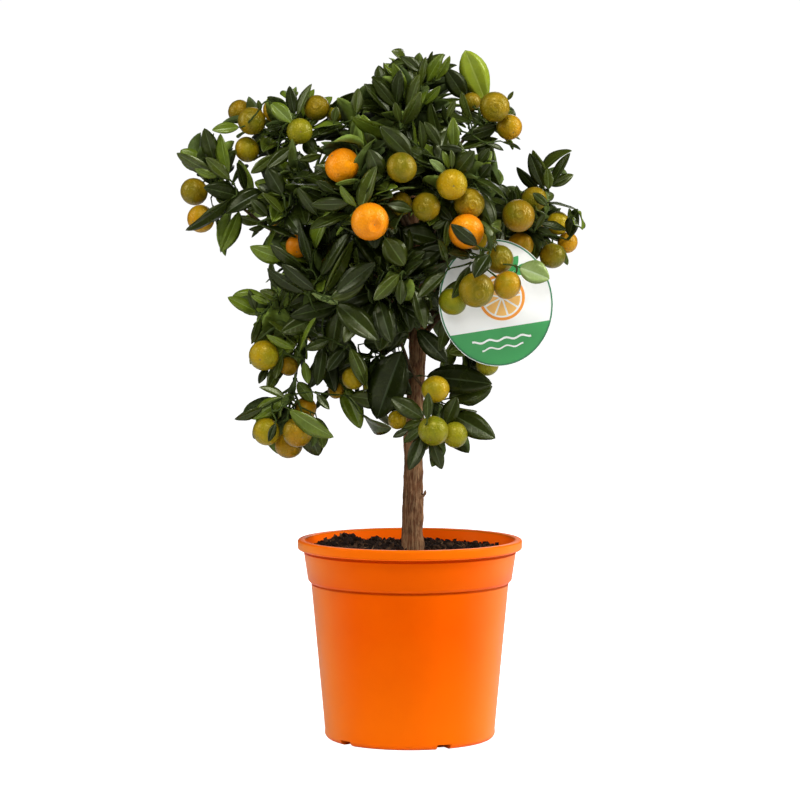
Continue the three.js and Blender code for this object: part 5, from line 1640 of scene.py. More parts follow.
# %% Leaves on offer
def wished_face(place, draw):
    """The way a leaf would like to face: outward and somewhat up, but never quite."""
    outward = (place - CROWN_HEART).normalized()
    wish = Vector((draw(-FACING["random"], FACING["random"]),
                   draw(-FACING["random"], FACING["random"]), draw(0, FACING["up"])))
    return wish + outward * FACING["outward"]


def make_leaf(shoot, share, axis, face, length, width):
    return {"root": shoot.at(share)[0], "axis": axis, "face": face, "length": length,
            "width": width, "share": share}


def offer_reaching(mass, stem, target, draw):
    """Shoots whose end leaf reaches for a tip, with that leaf at a few sizes and rolls."""
    whole = LEAF["length"] * mass["leaf"] * draw(*REACHING["spread"])
    wish = wished_face(target, draw)
    for size in REACHING["sizes"]:
        for share in fork_shares(draw(*REACHING["forks"])):
            root = stem.at(share)[0]
            length = whole * size
            end = target - (target - root).normalized() * length
            shoot = make_shoot(stem, share, end)
            axis = (target - end).normalized()
            for roll in REACHING["rolls"]:
                face = turned(square_share(wish, axis), axis, roll)
                yield shoot, make_leaf(shoot, 1, axis, face, length, LEAF["width"] * length)


def offer_fan(mass, stem, rank, draw):
    """Shoots that fan out, a golden angle apart, over the side of the mass that `aim` faces."""
    aim = Vector(mass["aim"]).normalized()
    polar = math.acos(1 - FAN["spread"] * (rank + 0.5) / mass["shoots"])
    turn = rank * GOLDEN_ANGLE + draw(-FAN["turn_spread"], FAN["turn_spread"])
    reach = draw(*FAN["reach"])
    first = lerp(*FAN["forks"], rank / mass["shoots"])
    for more in FAN["turns"]:
        way = slanted(aim, turned(square_to(aim), aim, turn + more), polar)
        end = Vector(mass["centre"]) + way * Vector(mass["size"]) * reach
        for share in fork_shares(first):
            yield make_shoot(stem, share, end), None


def offer_leaves(shoot, size, draw, spacing=LEAF["spacing"], least=LEAF["least"]):
    """The leaves of one shoot, from its end back, each at a few turns about the shoot."""
    count = max(least, round(shoot.length / spacing) + 1)
    offered = []
    for j in range(count):
        at_end = j == count - 1
        share = 1 if at_end else lerp(*LEAF["leafy"], j / max(1, count - 2))
        point, heading, _ = shoot.at(share)
        pitch = draw(*(LEAF["end_pitch"] if at_end else LEAF["pitch"]))
        turn = j * GOLDEN_ANGLE + draw(-LEAF["turn_spread"], LEAF["turn_spread"])
        length = LEAF["length"] * size * draw(*LEAF["length_spread"])
        width = LEAF["width"] * length * draw(*LEAF["width_spread"])
        wish = wished_face(point, draw)
        tries = []
        for n in range(LEAF["tries"]):
            across = turned(square_to(heading), heading, turn + n * LEAF["try_turn"])
            axis = (slanted(heading, across, pitch) - UP * LEAF["droop"]).normalized()
            tries.append(make_leaf(shoot, share, axis, square_share(wish, axis), length, width))
        offered.append(tries)
    return offered[::-1]


# %% Fruit on offer, and the tests
def hang_fruit(owner, place, radius, twigs, balls):
    """Hangs a fruit on the nearest free point of the twigs that leaves its stalk clear."""
    roots = [(twig, share, *twig.at(share)[:2]) for twig in twigs for share in FRUIT["shares"]]
    for twig, share, point, heading in sorted(roots, key=lambda r: (r[2] - place).length):
        away = (place - point).normalized()
        slant = heading.angle(away)
        if not FRUIT["least_slant"] < slant < math.pi - FRUIT["least_slant"]:
            continue
        if not has_room(twig, share, 2 * TWIG["root_height"]):
            continue
        end = place + away * (FRUIT["stalk_short"] - radius)
        stalk = Limb([point, end], [TWIG["stalk"]] * 2)
        shape = twig_probe(stalk, FRUIT["stalk_foot"], 0)
        if room.meets(shape, owner) or any(shape[0].overlap(ball) for ball in balls):
            continue
        twig.side.append(share)
        room.add(owner, shape)
        return point
    print("no stalk for the fruit at", place)
    return None


def keeps_to_space(mass, leaf):
    tip = leaf_tip(leaf) - Vector(mass["centre"])
    return Vector([t / (s + LEAF["reach_over"]) for t, s in zip(tip, mass["size"])]).length < 1


CARD_SEEN = (78, 406, 52, -66)  # the card's middle in the front view, a radius, and its depth
SEEN_ENDS = np.array([leaf["seen"][0][:4] for leaf in noticeable], dtype=float)
SEEN_RUNS = SEEN_ENDS[:, 2:] - SEEN_ENDS[:, :2]
SEEN_LENGTHS = np.hypot(*SEEN_RUNS.T)
SEEN_DEPTHS = np.array([leaf["seen"][1:] for leaf in noticeable])
SEEN_WIDTHS = np.array([leaf["seen"][0][4] for leaf in noticeable], dtype=float)
GUARD = {"half": 0.42, "fruit": 0.85, "along": (0.12, 0.95), "tips": 9}  # how much is kept free


def spoils_the_front(leaf):
    """Whether a leaf would close one of the crown's openings, or hide the card, a fruit or one of
    the listed leaves, as seen from the front."""
    side = leaf["axis"].cross(leaf["face"]) * GUARD["half"] * leaf["width"]
    middle = leaf_point(leaf, 0.55)
    return any(hides(point) for point in (
        leaf_point(leaf, 0.3), middle + side, middle, middle - side, leaf_point(leaf, 0.8),
        leaf_tip(leaf)))


def hides(point):
    seen = seen_from_front(point)
    if any((seen.x - x) ** 2 + (seen.z - z) ** 2 < r * r for x, z, r in OPENINGS):
        return True
    x, z, r, y = CARD_SEEN
    if point.y < y and (seen.x - x) ** 2 + (seen.z - z) ** 2 < r * r:
        return True
    off = (FRUIT_SEEN[:, 0] - seen.x) ** 2 + (FRUIT_SEEN[:, 2] - seen.z) ** 2
    near = off < (GUARD["fruit"] * FRUIT_SEEN[:, 3]) ** 2
    if np.any(near & (FRUIT_SEEN[:, 4] > point.y)):
        return True
    away = np.array((seen.x, seen.z)) - SEEN_ENDS[:, :2]
    along = (SEEN_RUNS * away).sum(1) / SEEN_LENGTHS ** 2
    across = abs(SEEN_RUNS[:, 0] * away[:, 1] - SEEN_RUNS[:, 1] * away[:, 0]) / SEEN_LENGTHS
    depth = SEEN_DEPTHS[:, 0] * (1 - along) + SEEN_DEPTHS[:, 1] * along
    first, last = GUARD["along"]
    return np.any((along > first) & (along < last) & (across < GUARD["half"] * SEEN_WIDTHS)
                  & (depth > point.y))


def leaf_fits(owner, leaf):
    return not (room.meets(leaf_probe(leaf, LEAF["foot"], 0), owner, own=True)
                or room.meets(leaf_probe(leaf, 0, FACET_GAP), owner))


def shoot_fits(owner, shoot):
    return not (room.meets(twig_probe(shoot, STEM["foot"], 0), owner, own=True)
                or room.meets(twig_probe(shoot, 0, 3 * CLEARANCE), owner))


# %% Grow every mass
twigs, leaves, fruits = [], [], []


def taken_by_hand(leaf):
    """Whether a listed leaf ends where this one does, as seen from the front."""
    seen = seen_from_front(leaf_tip(leaf))
    away = np.hypot(SEEN_ENDS[:, 2] - seen.x, SEEN_ENDS[:, 3] - seen.z)
    return np.any(away < GUARD["tips"])


def settle_shoot(owner, stem, offers):
    for shoot, end_leaf in offers:
        bare = end_leaf and (taken_by_hand(end_leaf) or spoils_the_front(end_leaf))
        if bare:
            end_leaf = None
        if not has_room(stem, shoot.share, STEM["gap"]):
            continue
        if (end_leaf and not leaf_fits(owner, end_leaf)) or not shoot_fits(owner, shoot):
            continue
        room.add(owner, twig_probe(shoot, STEM["foot"], 0))
        if end_leaf:
            room.add(owner, leaf_probe(end_leaf, LEAF["foot"], 0))
        shoot.end = BARE if bare else end_leaf
        stem.side.append(shoot.share)
        return shoot
    return None


def settle_leaves(owner, mass, shoot, offered):
    grown = []
    for offers in offered:
        share = offers[0]["share"]
        if shoot.end if share == 1 else not has_room(shoot, share, TWIG["root_height"]):
            continue
        for leaf in offers:
            if not keeps_to_space(mass, leaf) or spoils_the_front(leaf):
                continue
            if leaf_fits(owner, leaf):
                room.add(owner, leaf_probe(leaf, LEAF["foot"], 0))
                grown.append(leaf)
                if share == 1:
                    shoot.end = leaf
                else:
                    shoot.side.append(share)
                break
    return grown


def grow_mass(owner, name):
    mass = MASSES[name]
    draw = make_random(SEED + SEED_STEP * owner)
    first = len(room.trees)
    stem = grow_stem(name)
    room.add(owner, twig_probe(stem, 0, 0))
    offers = [offer_reaching(mass, stem, Vector(tip), draw) for tip in mass["tips"]]
    offers += [offer_fan(mass, stem, rank, draw) for rank in range(mass["shoots"])]
    shoots = [shoot for shoot in (settle_shoot(owner, stem, o) for o in offers) if shoot]
    places = [(Vector(row[:3]), row[3]) for row in mass["fruit"]]
    for i, (place, radius) in enumerate(places):
        balls = [ball_probe(*other, FACET_GAP)[0]
                 for k, other in enumerate(places) if k != i]
        root = hang_fruit(owner, place, radius, [*shoots, stem], balls)
        fruits.append({"mass": name, "place": place, "radius": radius, "root": root})
    # Where a shoot has lost its end leaf it is cut back to its last one, and bare ones go.
    own = [shoot.end for shoot in shoots if shoot.end and shoot.end is not BARE]
    for shoot in shoots:
        own += settle_leaves(owner, mass, shoot, offer_leaves(shoot, mass["leaf"], draw))
        if shoot.end in (None, BARE) and shoot.side:
            shoot.cut_short(max(shoot.side))
    shoots = [shoot for shoot in shoots if shoot.side or shoot.end not in (None, BARE)]
    room.forget(first, owner)
    grown = [stem, *shoots]
    for twig in grown:
        room.add(owner, twig_probe(twig, 0, 0))
    for leaf in own:
        room.add(owner, leaf_probe(leaf, 0, 0))
    twigs.extend(grown)
    leaves.extend(own)
    return grown


GROWN = {name: grow_mass(owner, name) for owner, name in enumerate(NAMES)}
young_tip = Vector((52, -45, 641))  # a listed leaf takes this one's place
leaves = [leaf for leaf in leaves if (leaf_tip(leaf) - young_tip).length > 3]
print("twigs:", len(twigs), "leaves:", len(leaves), "fruit:", len(fruits))
FIRST_LEAVES = len(leaves)


# %% [markdown]
# ### Finer twigs
# The solids stop at shoots, and a real shoot has short side twigs with smaller leaves. They fork
# off between the leaves that are there, at the same slants, and keep to the space of their mass.
# A box test with the whole crown keeps the plant inside the reach of its solids. A twig whose end
# leaf finds no place is cut back to its last leaf, and one without any leaf isn't kept.

# %% Grow the side twigs
FINE = {
    "seed": 7919, "each": 5, "again": 6, "length": (9, 20), "radius": (0.85, 0.6), "leaf": 0.85,
    "spacing": 7, "pitch": (0.6, 1.2), "tries": 5, "gap": 1.8, "along": (0.25, 0.95),
    "shift": 0.03, "furthest": 0.97, "try_turn": 1.3, "foot": 3,
}
CARRIER = {"shares": (0.1, 0.25, 0.4, 0.55, 0.7, 0.85, 0.97), "far": 1.35, "behind": 0.6,
           "radii": (1.0, 0.75), "along": 0.5}
SPARSE = {"crown": 3, "far_left": 1, "upper_left": 2, "left": 3, "far_right": 0, "top_right": 2,
          "right": 3, "lowest_left": 2, "lower_left": 3, "low_front": 1, "low_middle": 2,
          "under_right": 2}  # masses with fewer side twigs to a shoot
CROWN_LOW = Vector(CAD_BOX[0]) / MM
CROWN_HIGH = Vector(CAD_BOX[1]) / MM


def within_crown(*points):
    return all(low < c < high for point in points
               for low, c, high in zip(CROWN_LOW, point, CROWN_HIGH))


def grow_side_twig(owner, mass, shoot, share, draw):
    """Tries a side twig at a few places and turns. Gives its leaves, or none."""
    length = draw(*FINE["length"])
    pitch, turn = draw(*FINE["pitch"]), draw(0, TURN)
    for n in range(FINE["tries"]):
        place = min(FINE["furthest"], share + FINE["shift"] * n)
        if not has_room(shoot, place, FINE["gap"]):
            continue
        point, heading, _ = shoot.at(place)
        across = turned(square_to(heading), heading, turn + FINE["try_turn"] * n)
        tip = point + slanted(heading, across, pitch) * length
        fine = make_shoot(shoot, place, tip, *FINE["radius"])
        if not within_crown(tip) or room.meets(twig_probe(fine, FINE["foot"], 0)):
            continue
        offered = offer_leaves(fine, mass["leaf"] * FINE["leaf"], draw, FINE["spacing"], 2)
        grown = settle_leaves(owner, mass, fine, offered)
        grown = [leaf for leaf in grown if within_crown(leaf_tip(leaf))]
        if grown:
            if not fine.end:
                fine.cut_short(max(fine.side))
            room.add(owner, twig_probe(fine, FINE["foot"], 0))
            shoot.side.append(place)
            twigs.append(fine)
            return grown
    return []


def grow_side_twigs(owner, name, each, draw):
    made = 0
    for shoot in GROWN[name]:
        for rank in range(each):
            share = lerp(*FINE["along"], (rank + draw(0.2, 0.8)) / each)
            grown = grow_side_twig(owner, MASSES[name], shoot, share, draw)
            leaves.extend(grown)
            made += bool(grown)
    return made


def nearest_on_twigs(leaf, limbs):
    """The point on the twigs and boughs that a leaf's own twig can best come from: near, and
    behind it. Gives the cost, the point and the heading there."""
    best = None
    for limb in limbs:
        for share in CARRIER["shares"]:
            point, heading, _ = limb.at(share)
            away = leaf["root"] - point
            behind = leaf["axis"].dot(away.normalized())
            cost = away.length * (CARRIER["far"] - CARRIER["behind"] * behind)
            if best is None or cost < best[0]:
                best = (cost, point, heading)
    return best


def carry(new_leaves):
    """Each new leaf gets a bent twig from the nearest fitting twig. Those that are nearest to
    wood come first, and the others may spring from their twigs."""
    limbs = [*LIMBS.values(), *twigs]
    waiting = {id(leaf): (leaf, nearest_on_twigs(leaf, limbs)) for leaf in new_leaves}
    while waiting:
        key = min(waiting, key=lambda k: waiting[k][1][0])
        leaf, (_, point, heading) = waiting.pop(key)
        away = (leaf["root"] - point).normalized()
        leaving = (heading * CARRIER["along"] + away).normalized()
        carrier = make_twig(point, leaf["root"], leaving, *CARRIER["radii"])
        carrier.slopes[-1] = (leaf["axis"] + away).normalized()
        twigs.append(carrier)
        leaves.append(leaf)
        for other, (waiter, best) in waiting.items():
            offer = nearest_on_twigs(waiter, [carrier])
            if offer[0] < best[0]:
                waiting[other] = (waiter, offer)


carry(noticeable)
side_twigs = 0
for owner, name in enumerate(NAMES):
    draw = make_random(FINE["seed"] + SEED_STEP * owner)
    each = SPARSE.get(name, FINE["each"])
    side_twigs += grow_side_twigs(owner, name, each, draw)
    if name not in SPARSE:
        side_twigs += grow_side_twigs(owner, name, FINE["again"], draw)
print("side twigs:", side_twigs, "leaves on them:", len(leaves) - FIRST_LEAVES)


# %% [markdown]
# ### Leaves where light comes through
# A crown closes wherever light gets in, because that is where buds open. Seen from the front, the
# full masses are searched for places that no leaf or fruit covers yet, apart from the openings.
# Each such place is offered a leaf within its mass, on a twig of its own.

# %% Close the gaps of the full masses
GAP = {
    "seed": 4409, "cell": 3.0, "within": 0.9, "tries": 8, "size": (0.75, 1.1), "width": 0.42,
    "deepest": -14, "counts": 10, "depth": 0.8, "margin": 4,
}
GAP_LOW = (-240, 230)
GAP_MASSES = ("centre_front", "lower_centre", "centre_right", "left_middle", "upper_middle",
              "crown", "left", "lower_right", "right", "lower_left", "low_middle")
covered = np.zeros((140, 150), bool)


def cells_of(points):
    """Rows and columns of the front view's cells at some points."""
    seen = np.array([tuple(seen_from_front(p)) for p in points])
    return tuple(((seen[:, axis] - low) / GAP["cell"]).astype(int)
                 for axis, low in zip((0, 2), GAP_LOW))


def cover(leaf):
    side = leaf["axis"].cross(leaf["face"]) * 0.38 * leaf["width"]
    line = [leaf["root"] + leaf["axis"] * leaf["length"] * k / 12 for k in range(2, 12)]
    covered[cells_of([p + side * t for p in line for t in (-1, -0.5, 0, 0.5, 1)])] = True


def cover_fruit():
    for x, _, z, radius, _ in FRUIT_SEEN:
        for ring in (0, 0.35, 0.7, 0.95):
            for k in range(16):
                turn = TURN * k / 16
                covered[cells_of([Vector((x + ring * radius * math.cos(turn), 0,
                                          z + ring * radius * math.sin(turn)))])] = True


def open_cells(name):
    """The places of a mass that show through, as x and z of the front view."""
    centre, size = seen_from_front(Vector(MASSES[name]["centre"])), MASSES[name]["size"]
    cells = []
    for i, j in np.argwhere(~covered):
        x, z = (GAP_LOW[0] + (i + 0.5) * GAP["cell"], GAP_LOW[1] + (j + 0.5) * GAP["cell"])
        off = ((x - centre.x) / size[0]) ** 2 + ((z - centre.z) / size[2]) ** 2
        if off < GAP["within"] and all(
                (x - a) ** 2 + (z - b) ** 2 > (r + GAP["margin"]) ** 2 for a, b, r in OPENINGS):
            cells.append((i, j, x, z))
    return cells


def close_gaps(owner, name, draw):
    mass = MASSES[name]
    centre = Vector(mass["centre"])
    nearest = centre.y - GAP["depth"] * mass["size"][1]
    furthest = max(nearest, min(centre.y, GAP["deepest"]))
    made = []
    for i, j, x, z in sorted(open_cells(name), key=lambda cell: draw()):
        if covered[i, j]:
            continue
        for _ in range(GAP["tries"]):
            place = at_depth(x, z, draw(nearest, furthest))
            away = (place - centre).normalized()
            axis = (away + Vector((draw(-1, 1), draw(-0.7, 0.3), draw(-1, 0.8)))).normalized()
            length = LEAF["length"] * mass["leaf"] * draw(*GAP["size"])
            face = square_share(wished_face(place, draw) - Vector((0, 0.8, 0)), axis)
            leaf = {"root": place - axis * length * draw(0.35, 0.65), "axis": axis, "face": face,
                    "length": length, "width": GAP["width"] * length}
            if (within_crown(leaf["root"], leaf_tip(leaf)) and not spoils_the_front(leaf)
                    and leaf_fits(owner, leaf)):
                room.add(owner, leaf_probe(leaf, 0, 0))
                cover(leaf)
                made.append(leaf)
                break
    return made


cover_fruit()
for leaf in leaves:
    if leaf["root"].y < GAP["counts"]:
        cover(leaf)
gap_leaves = []
for name in GAP_MASSES:
    draw = make_random(GAP["seed"] + len(gap_leaves))
    gap_leaves += close_gaps(NAMES.index(name), name, draw)
carry(gap_leaves)
print("leaves in gaps:", len(gap_leaves), "twigs:", len(twigs), "leaves:", len(leaves))


# %% [markdown]
# ### Shoots along the back boughs
# Between the trunk and the masses at the back the boughs would be bare, and the crown would look
# split from the side. Short shoots with leaves stand all along them. They go only where the crown
# hides them from the front, so that its openings stay.

# %% Grow shoots along the back boughs
BEHIND = {
    "seed": 6011, "shoots": 9, "along": (0.22, 0.97), "length": (20, 40), "tries": 9,
    "pitch": (0.6, 1.3), "leaf": 1.05, "spacing": 9, "nearest": 8, "hidden": 0.8, "clear": 3,
    "space": (60, 60, 60),
}


def hidden(leaf):
    points = [leaf["root"] + leaf["axis"] * leaf["length"] * k / 4 for k in range(5)]
    return covered[cells_of(points)].mean() >= BEHIND["hidden"]


def grow_behind(owner, name, draw):
    bough = LIMBS[name]
    made = []
    for rank in range(BEHIND["shoots"]):
        share = lerp(*BEHIND["along"], (rank + draw(0.2, 0.8)) / BEHIND["shoots"])
        point, heading, radius = bough.at(share)
        turn = draw(0, TURN)
        for n in range(BEHIND["tries"]):
            across = turned(square_to(heading), heading, turn + GOLDEN_ANGLE * n)
            tip = point + slanted(heading, across, draw(*BEHIND["pitch"])) * draw(*BEHIND["length"])
            shoot = make_shoot(bough, share, tip)
            shape = twig_probe(shoot, radius + BEHIND["clear"], 0)
            if tip.y < BEHIND["nearest"] or not within_crown(tip) or room.meets(shape):
                continue
            space = {"centre": point.lerp(tip, 0.6), "size": BEHIND["space"]}
            offered = [[leaf for leaf in tries if within_crown(leaf_tip(leaf)) and hidden(leaf)]
                       for tries in offer_leaves(shoot, BEHIND["leaf"], draw, BEHIND["spacing"])]
            grown = settle_leaves(owner, space, shoot, [tries for tries in offered if tries])
            if grown:
                room.add(owner, shape)
                twigs.append(shoot)
                made += grown
                break
    leaves.extend(made)
    return made


behind = []
for name in NAMES:
    if name.startswith("back_"):
        behind += grow_behind(NAMES.index(name), name, make_random(BEHIND["seed"] + len(behind)))
print("leaves along the back boughs:", len(behind))


# %% [markdown]
# ## Leaves
# A citrus leaf is an ellipse with a blunt point. It folds a little along its midrib, its halves
# bulge, and it arches from root to tip. Each leaf here is 77 faces in seven strips: five on its
# upper side, of which the middle one is the sunken midrib, and two below. They meet at the rim,
# so every leaf is closed. Its tint is a plain material, dealt out by chance and by its place in
# the crown.

# %% One leaf's shape
STATIONS = (0.0, 0.04, 0.12, 0.22, 0.33, 0.44, 0.55, 0.66, 0.77, 0.87, 0.95, 1.0)
ACROSS = (-1, -0.52, -0.06, 0.06, 0.52, 1)
TINTS = list(LEAF_TINTS)
PETIOLE = 0.1  # share of a leaf's length
BLADE = {"arch": (0.15, 0.95), "fold": (0.06, 0.42), "twist": (-0.4, 0.4), "wave": (0, 0.1),
         "waves": (1.2, 2.4), "bulge": (0.02, 0.16), "rib": 0.25, "thick": 0.75}
CALM, YOUNG_FOLD = 0.35, 0.3  # less bend in the listed leaves, less fold in young ones
WIDEST = {"young": 1.35}  # above 1 it is widest near its tip


def leaf_shape(leaf, draw):
    """The corners of one leaf blade and their map: along it, and across."""
    axis, face = leaf["axis"], leaf["face"]
    side = axis.cross(face)
    length, half_width = leaf["length"] * (1 - PETIOLE), leaf["width"] / 2
    root = leaf["root"] + axis * PETIOLE * leaf["length"]
    tint = leaf.get("tint")
    calm = CALM if tint else 1
    arch, fold = draw(*BLADE["arch"]) * calm, draw(*BLADE["fold"])
    twist = draw(*BLADE["twist"]) * calm
    fold *= YOUNG_FOLD if tint == "young" else 1
    wave, phase, waves = draw(*BLADE["wave"]), draw(0, TURN), draw(*BLADE["waves"])
    bulge = draw(*BLADE["bulge"])
    reach = length * (arch / 2) / math.sin(arch / 2)
    verts, uvs = [], []
    for s in STATIONS:
        # An arc from root to tip: it leaves half its bend above the straight way.
        rise = (math.cos(arch * (0.5 - s)) - math.cos(arch / 2)) / arch * reach
        along = (math.sin(arch / 2) - math.sin(arch * (0.5 - s))) / arch * reach
        centre = root + axis * along + face * rise
        lean = Matrix.Rotation(twist * (s - 0.5), 3, axis)
        out, over = lean @ side, lean @ face
        width = half_width * max(0.0, math.sin(math.pi * s ** WIDEST.get(tint, 0.94))) ** 0.7
        ends = s in (0.0, 1.0)
        for t in ((0,) if ends else ACROSS):
            high = (fold * abs(t) + bulge * 4 * abs(t) * (1 - abs(t))) * width
            high += wave * t * t * width * math.sin(phase + waves * TURN * s + (t > 0) * 1.7)
            high -= BLADE["rib"] if 0 < abs(t) < 0.1 else 0
            verts.append(centre + out * t * width + over * high)
            uvs.append((s, (t + 1) / 2))
        if not ends:
            verts.append(centre - over * BLADE["thick"])
            uvs.append((s, 0.5))
    return verts, uvs


def leaf_faces():
    """The faces of every leaf, and whether each is skin (0), underside (1) or midrib (2). Its
    corners are the root, seven for each station, and the tip."""
    faces, slots = [], []
    last = len(STATIONS) - 1
    tip = 1 + 7 * (last - 1)
    for i in range(last):
        a, b = 1 + 7 * (i - 1), 1 + 7 * i
        strips = [(k, k + 1) for k in range(5)] + [(5, 6), (6, 0)]
        for k, (left, right) in enumerate(strips):
            if i == 0:
                faces.append((0, b + right, b + left))
            elif i == last - 1:
                faces.append((a + left, a + right, tip))
            else:
                faces.append((a + left, a + right, b + right, b + left))
            slots.append(1 if k > 4 else (2 if k == 2 else 0))
    return faces, np.array(slots)


LEAF_FACES, LEAF_SLOTS = leaf_faces()
print("faces to a leaf:", len(LEAF_FACES))


# %% Deal out the tints and build the leaves
LEAF_LEVELS = {"low": 430, "middle": 530, "high": math.inf}  # up to which height, by the root
FRESH = {"above": 590, "left_of": -95, "often": 0.3, "seldom": 0.06}
# Painted shade: in this middle part of the crown the leaves get the dark tints more often.
SHADED = {"from_middle": 80, "middle": -10, "height": (330, 480)}
DARK_AND_DEEP = {True: (0.6, 0.88), False: (0.4, 0.72)}  # in the shade, and elsewhere


def tint_of(leaf, draw):
    """Mostly dark and middling greens, the dark ones dealt out more often in the crown's heart as
    painted shade, and the freshest near the top and at the far left."""
    luck = draw()
    if "tint" in leaf:
        return leaf["tint"]
    x, _, z = leaf_tip(leaf)
    often = z > FRESH["above"] or x < FRESH["left_of"]
    if luck < FRESH["often" if often else "seldom"]:
        return "fresh"
    luck = draw()
    low, high = SHADED["height"]
    shaded = abs(x - SHADED["middle"]) < SHADED["from_middle"] and low < z < high
    dark, deep = DARK_AND_DEEP[shaded]
    return "dark" if luck < dark else ("deep" if luck < deep else "mid")


LEAF_HEAPS = {part: Heap() for part in LEAF_LEVELS}
petioles = Heap()
draw = make_random(5501)
for leaf in leaves:
    verts, uvs = leaf_shape(leaf, draw)
    slots = LEAF_SLOTS + 3 * TINTS.index(tint_of(leaf, draw))
    part = next(part for part, top in LEAF_LEVELS.items() if leaf["root"].z < top)
    LEAF_HEAPS[part].add(verts, LEAF_FACES, slots.tolist(), uvs)
    stalk = Limb([leaf["root"] - leaf["axis"] * 0.6,
                  leaf["root"] + leaf["axis"] * (PETIOLE + 0.02) * leaf["length"]], [0.75, 0.6])
    petioles.add(*tube(stalk, 6, 3), 0)

for part, heap in LEAF_HEAPS.items():
    item = heap.piece("leaves_" + part, LEAF_MATERIALS)
    finished(item, "leaves_" + part)

# %% [markdown]
# ## Twigs
# Young citrus wood is green and a little ribbed. Each twig is a six-sided tube that swells at its
# root. The leaf stalks are thinner tubes of the same green, and one dead twig hangs before the
# trunk.

# %% Build the twigs
def swollen(share, radius):
    return radius * (1 + 0.5 * math.exp(-share * 14))


twig_heap = Heap()
for twig in twigs:
    twig_heap.add(*tube(twig, 6, 3, swollen), 0)
dry = Limb([Vector((-24, -10, 452)), Vector((-21, -16, 405)), Vector((-9, -18, 360))],
           [1.3, 0.9, 0.45])
twig_heap.add(*tube(dry, 7, 3), 1)
finished(twig_heap.piece("twigs", [TWIG_GREEN, TWIG_DRY]), "twigs")
finished(petioles.piece("leaf_stalks", [TWIG_GREEN]), "leaf_stalks")

# %% [markdown]
# ## Fruit
# Calamondins are small, round and slightly flattened at both ends. The stalk ends in a small
# green star, and at the free end is the scar of the flower, in a shallow ring or a dimple on
# some. Each fruit is a profile turned about its own axis. Its colour goes from olive to orange.

# %% Which fruit has which colour, and which shows its ring
FRUIT_LOOKS = {  # mass: letters of the tints, in the order of its fruit; capitals show their ring
    "top_right": "Vtb", "upper_left": "bVytVgg", "far_left": "vt", "left": "o",
    "centre_front": "oOv", "centre_right": "VvyVoy", "right": "Btvtyv", "lower_right": "VtgV",
    "lower_left": "yb", "lowest_left": "tybb", "low_middle": "yb", "low_front": "yggy",
    "under_right": "g", "back_top": "ov", "back_left": "to", "back_right": "ov",
    "back_centre": "ty", "back_low_left": "vy", "back_low_right": "ot",
}
FRUIT_SIDES, FRUIT_STEPS = 24, 18
FRUIT_FLAT = 0.93
FREE_ENDS = {  # distance out and rise, as shares of the radius, from the round skin to the scar
    "plain": ((0.35, 0), (0.24, -0.006), (0.14, -0.014), (0.06, -0.024)),
    "ringed": ((0.44, -0.014), (0.39, -0.032), (0.34, -0.02), (0.29, 0.012), (0.24, 0.012),
               (0.18, -0.02), (0.12, -0.045), (0.07, -0.036), (0.035, -0.044)),
    "dimpled": ((0.44, -0.006), (0.36, -0.022), (0.28, -0.054), (0.2, -0.1), (0.13, -0.135),
                (0.07, -0.15), (0.03, -0.155)),
}


def fruit_profile(radius, kind):
    """Distances out and along the axis, from the stalk's dimple to the scar at the free end, where
    some have a ridge round the scar, and some a dimple."""
    top = FRUIT_FLAT * radius
    points = [(0.9, 0.9 - top)]
    for i in range(1, FRUIT_STEPS - 3):
        turn = math.pi * i / FRUIT_STEPS
        points.append((radius * math.sin(turn), -top * math.cos(turn)))
    for out, lift in FREE_ENDS[kind]:
        points.append((out * radius, top * math.sqrt(1 - out * out) + lift * radius))
    return points


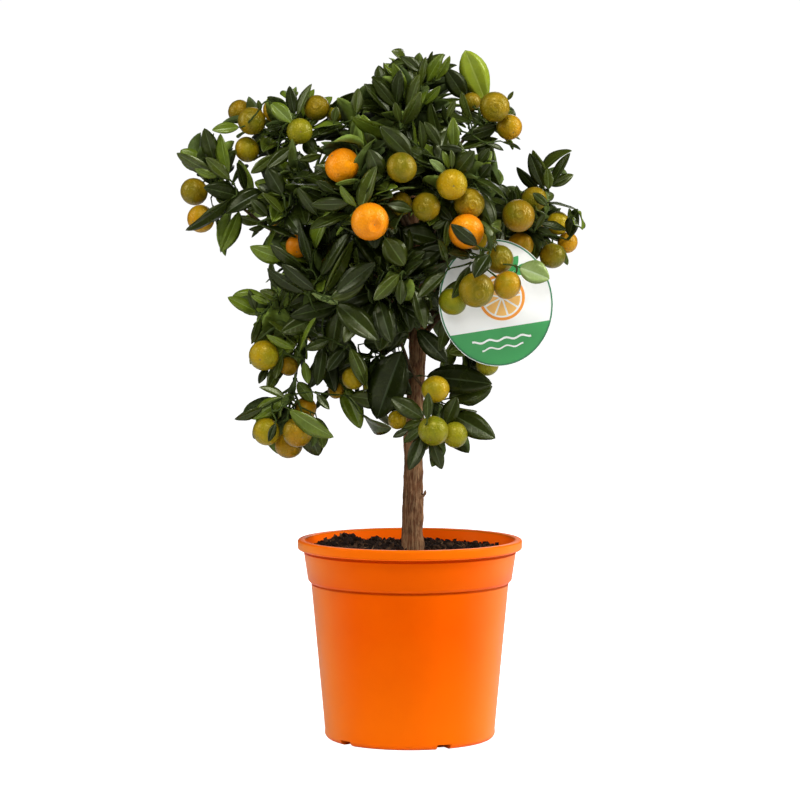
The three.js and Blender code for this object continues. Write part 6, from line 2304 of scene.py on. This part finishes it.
def fruit_shape(centre, axis, radius, kind):
    across = square_to(axis)
    over = axis.cross(across)
    profile = fruit_profile(radius, kind)
    verts = [centre + axis * up + slanted(across, over, TURN * k / FRUIT_SIDES) * out
             for out, up in profile for k in range(FRUIT_SIDES)]
    faces = bands(len(profile), FRUIT_SIDES)
    slots = [0] * len(faces)
    verts += [centre + axis * profile[0][1], centre + axis * (profile[-1][1] - 0.1)]
    ring = (len(profile) - 1) * FRUIT_SIDES
    for k in range(FRUIT_SIDES):
        n = (k + 1) % FRUIT_SIDES
        faces += [(len(verts) - 2, n, k), (len(verts) - 1, ring + k, ring + n)]
        slots += [0, 1]
    return verts, faces, slots


# %% Build the fruit, with stalks and stars
fruit_heap, stalk_heap = Heap(), Heap()
FRUIT_KEYS = list(FRUIT_MATERIALS)
ranks = {}
draw = make_random(907)
for fruit in fruits:
    rank = ranks[fruit["mass"]] = ranks.get(fruit["mass"], -1) + 1
    letter = FRUIT_LOOKS[fruit["mass"]][rank]
    kind = "plain" if letter.islower() else ("dimpled" if letter == "O" else "ringed")
    place, radius = fruit["place"], fruit["radius"]
    root = fruit["root"] or place + UP * (radius + 6)
    away = (place - root).normalized()
    front = Vector((draw(-0.35, 0.35), -1, draw(-0.15, 0.4)))
    axis = (away + front * (0.4 if kind == "plain" else 2.4)).normalized()
    verts, faces, slots = fruit_shape(place, axis, radius, kind)
    tint = FRUIT_KEYS.index(letter.lower())
    slots = [FRUIT_KEYS.index("scar") if slot else tint for slot in slots]
    fruit_heap.add(verts, faces, slots)
    foot = place - axis * (FRUIT_FLAT * radius - 1.2)
    if (foot - root).length > 1:
        middle = foot - axis * min(6, 0.5 * (foot - root).length)
        stalk = Limb([root, root.lerp(middle, 0.7), foot], [0.9, 0.8, 1.0])
        stalk_heap.add(*tube(stalk, 7, 2), 0)
    for k in range(5):
        across = turned(square_to(axis), axis, TURN * k / 5)
        tip = foot + across * 2.3 - axis * 0.7
        sepal = Limb([foot - axis * 0.6, tip], [0.85, 0.3])
        stalk_heap.add(*tube(sepal, 5, 1.2), 0)
fruit_piece = fruit_heap.piece("fruit", list(FRUIT_MATERIALS.values()))
finished(fruit_piece, "fruit", ["foliage_" + name for name in NAMES])
finished(stalk_heap.piece("fruit_stalks", [TWIG_GREEN]), "fruit_stalks")
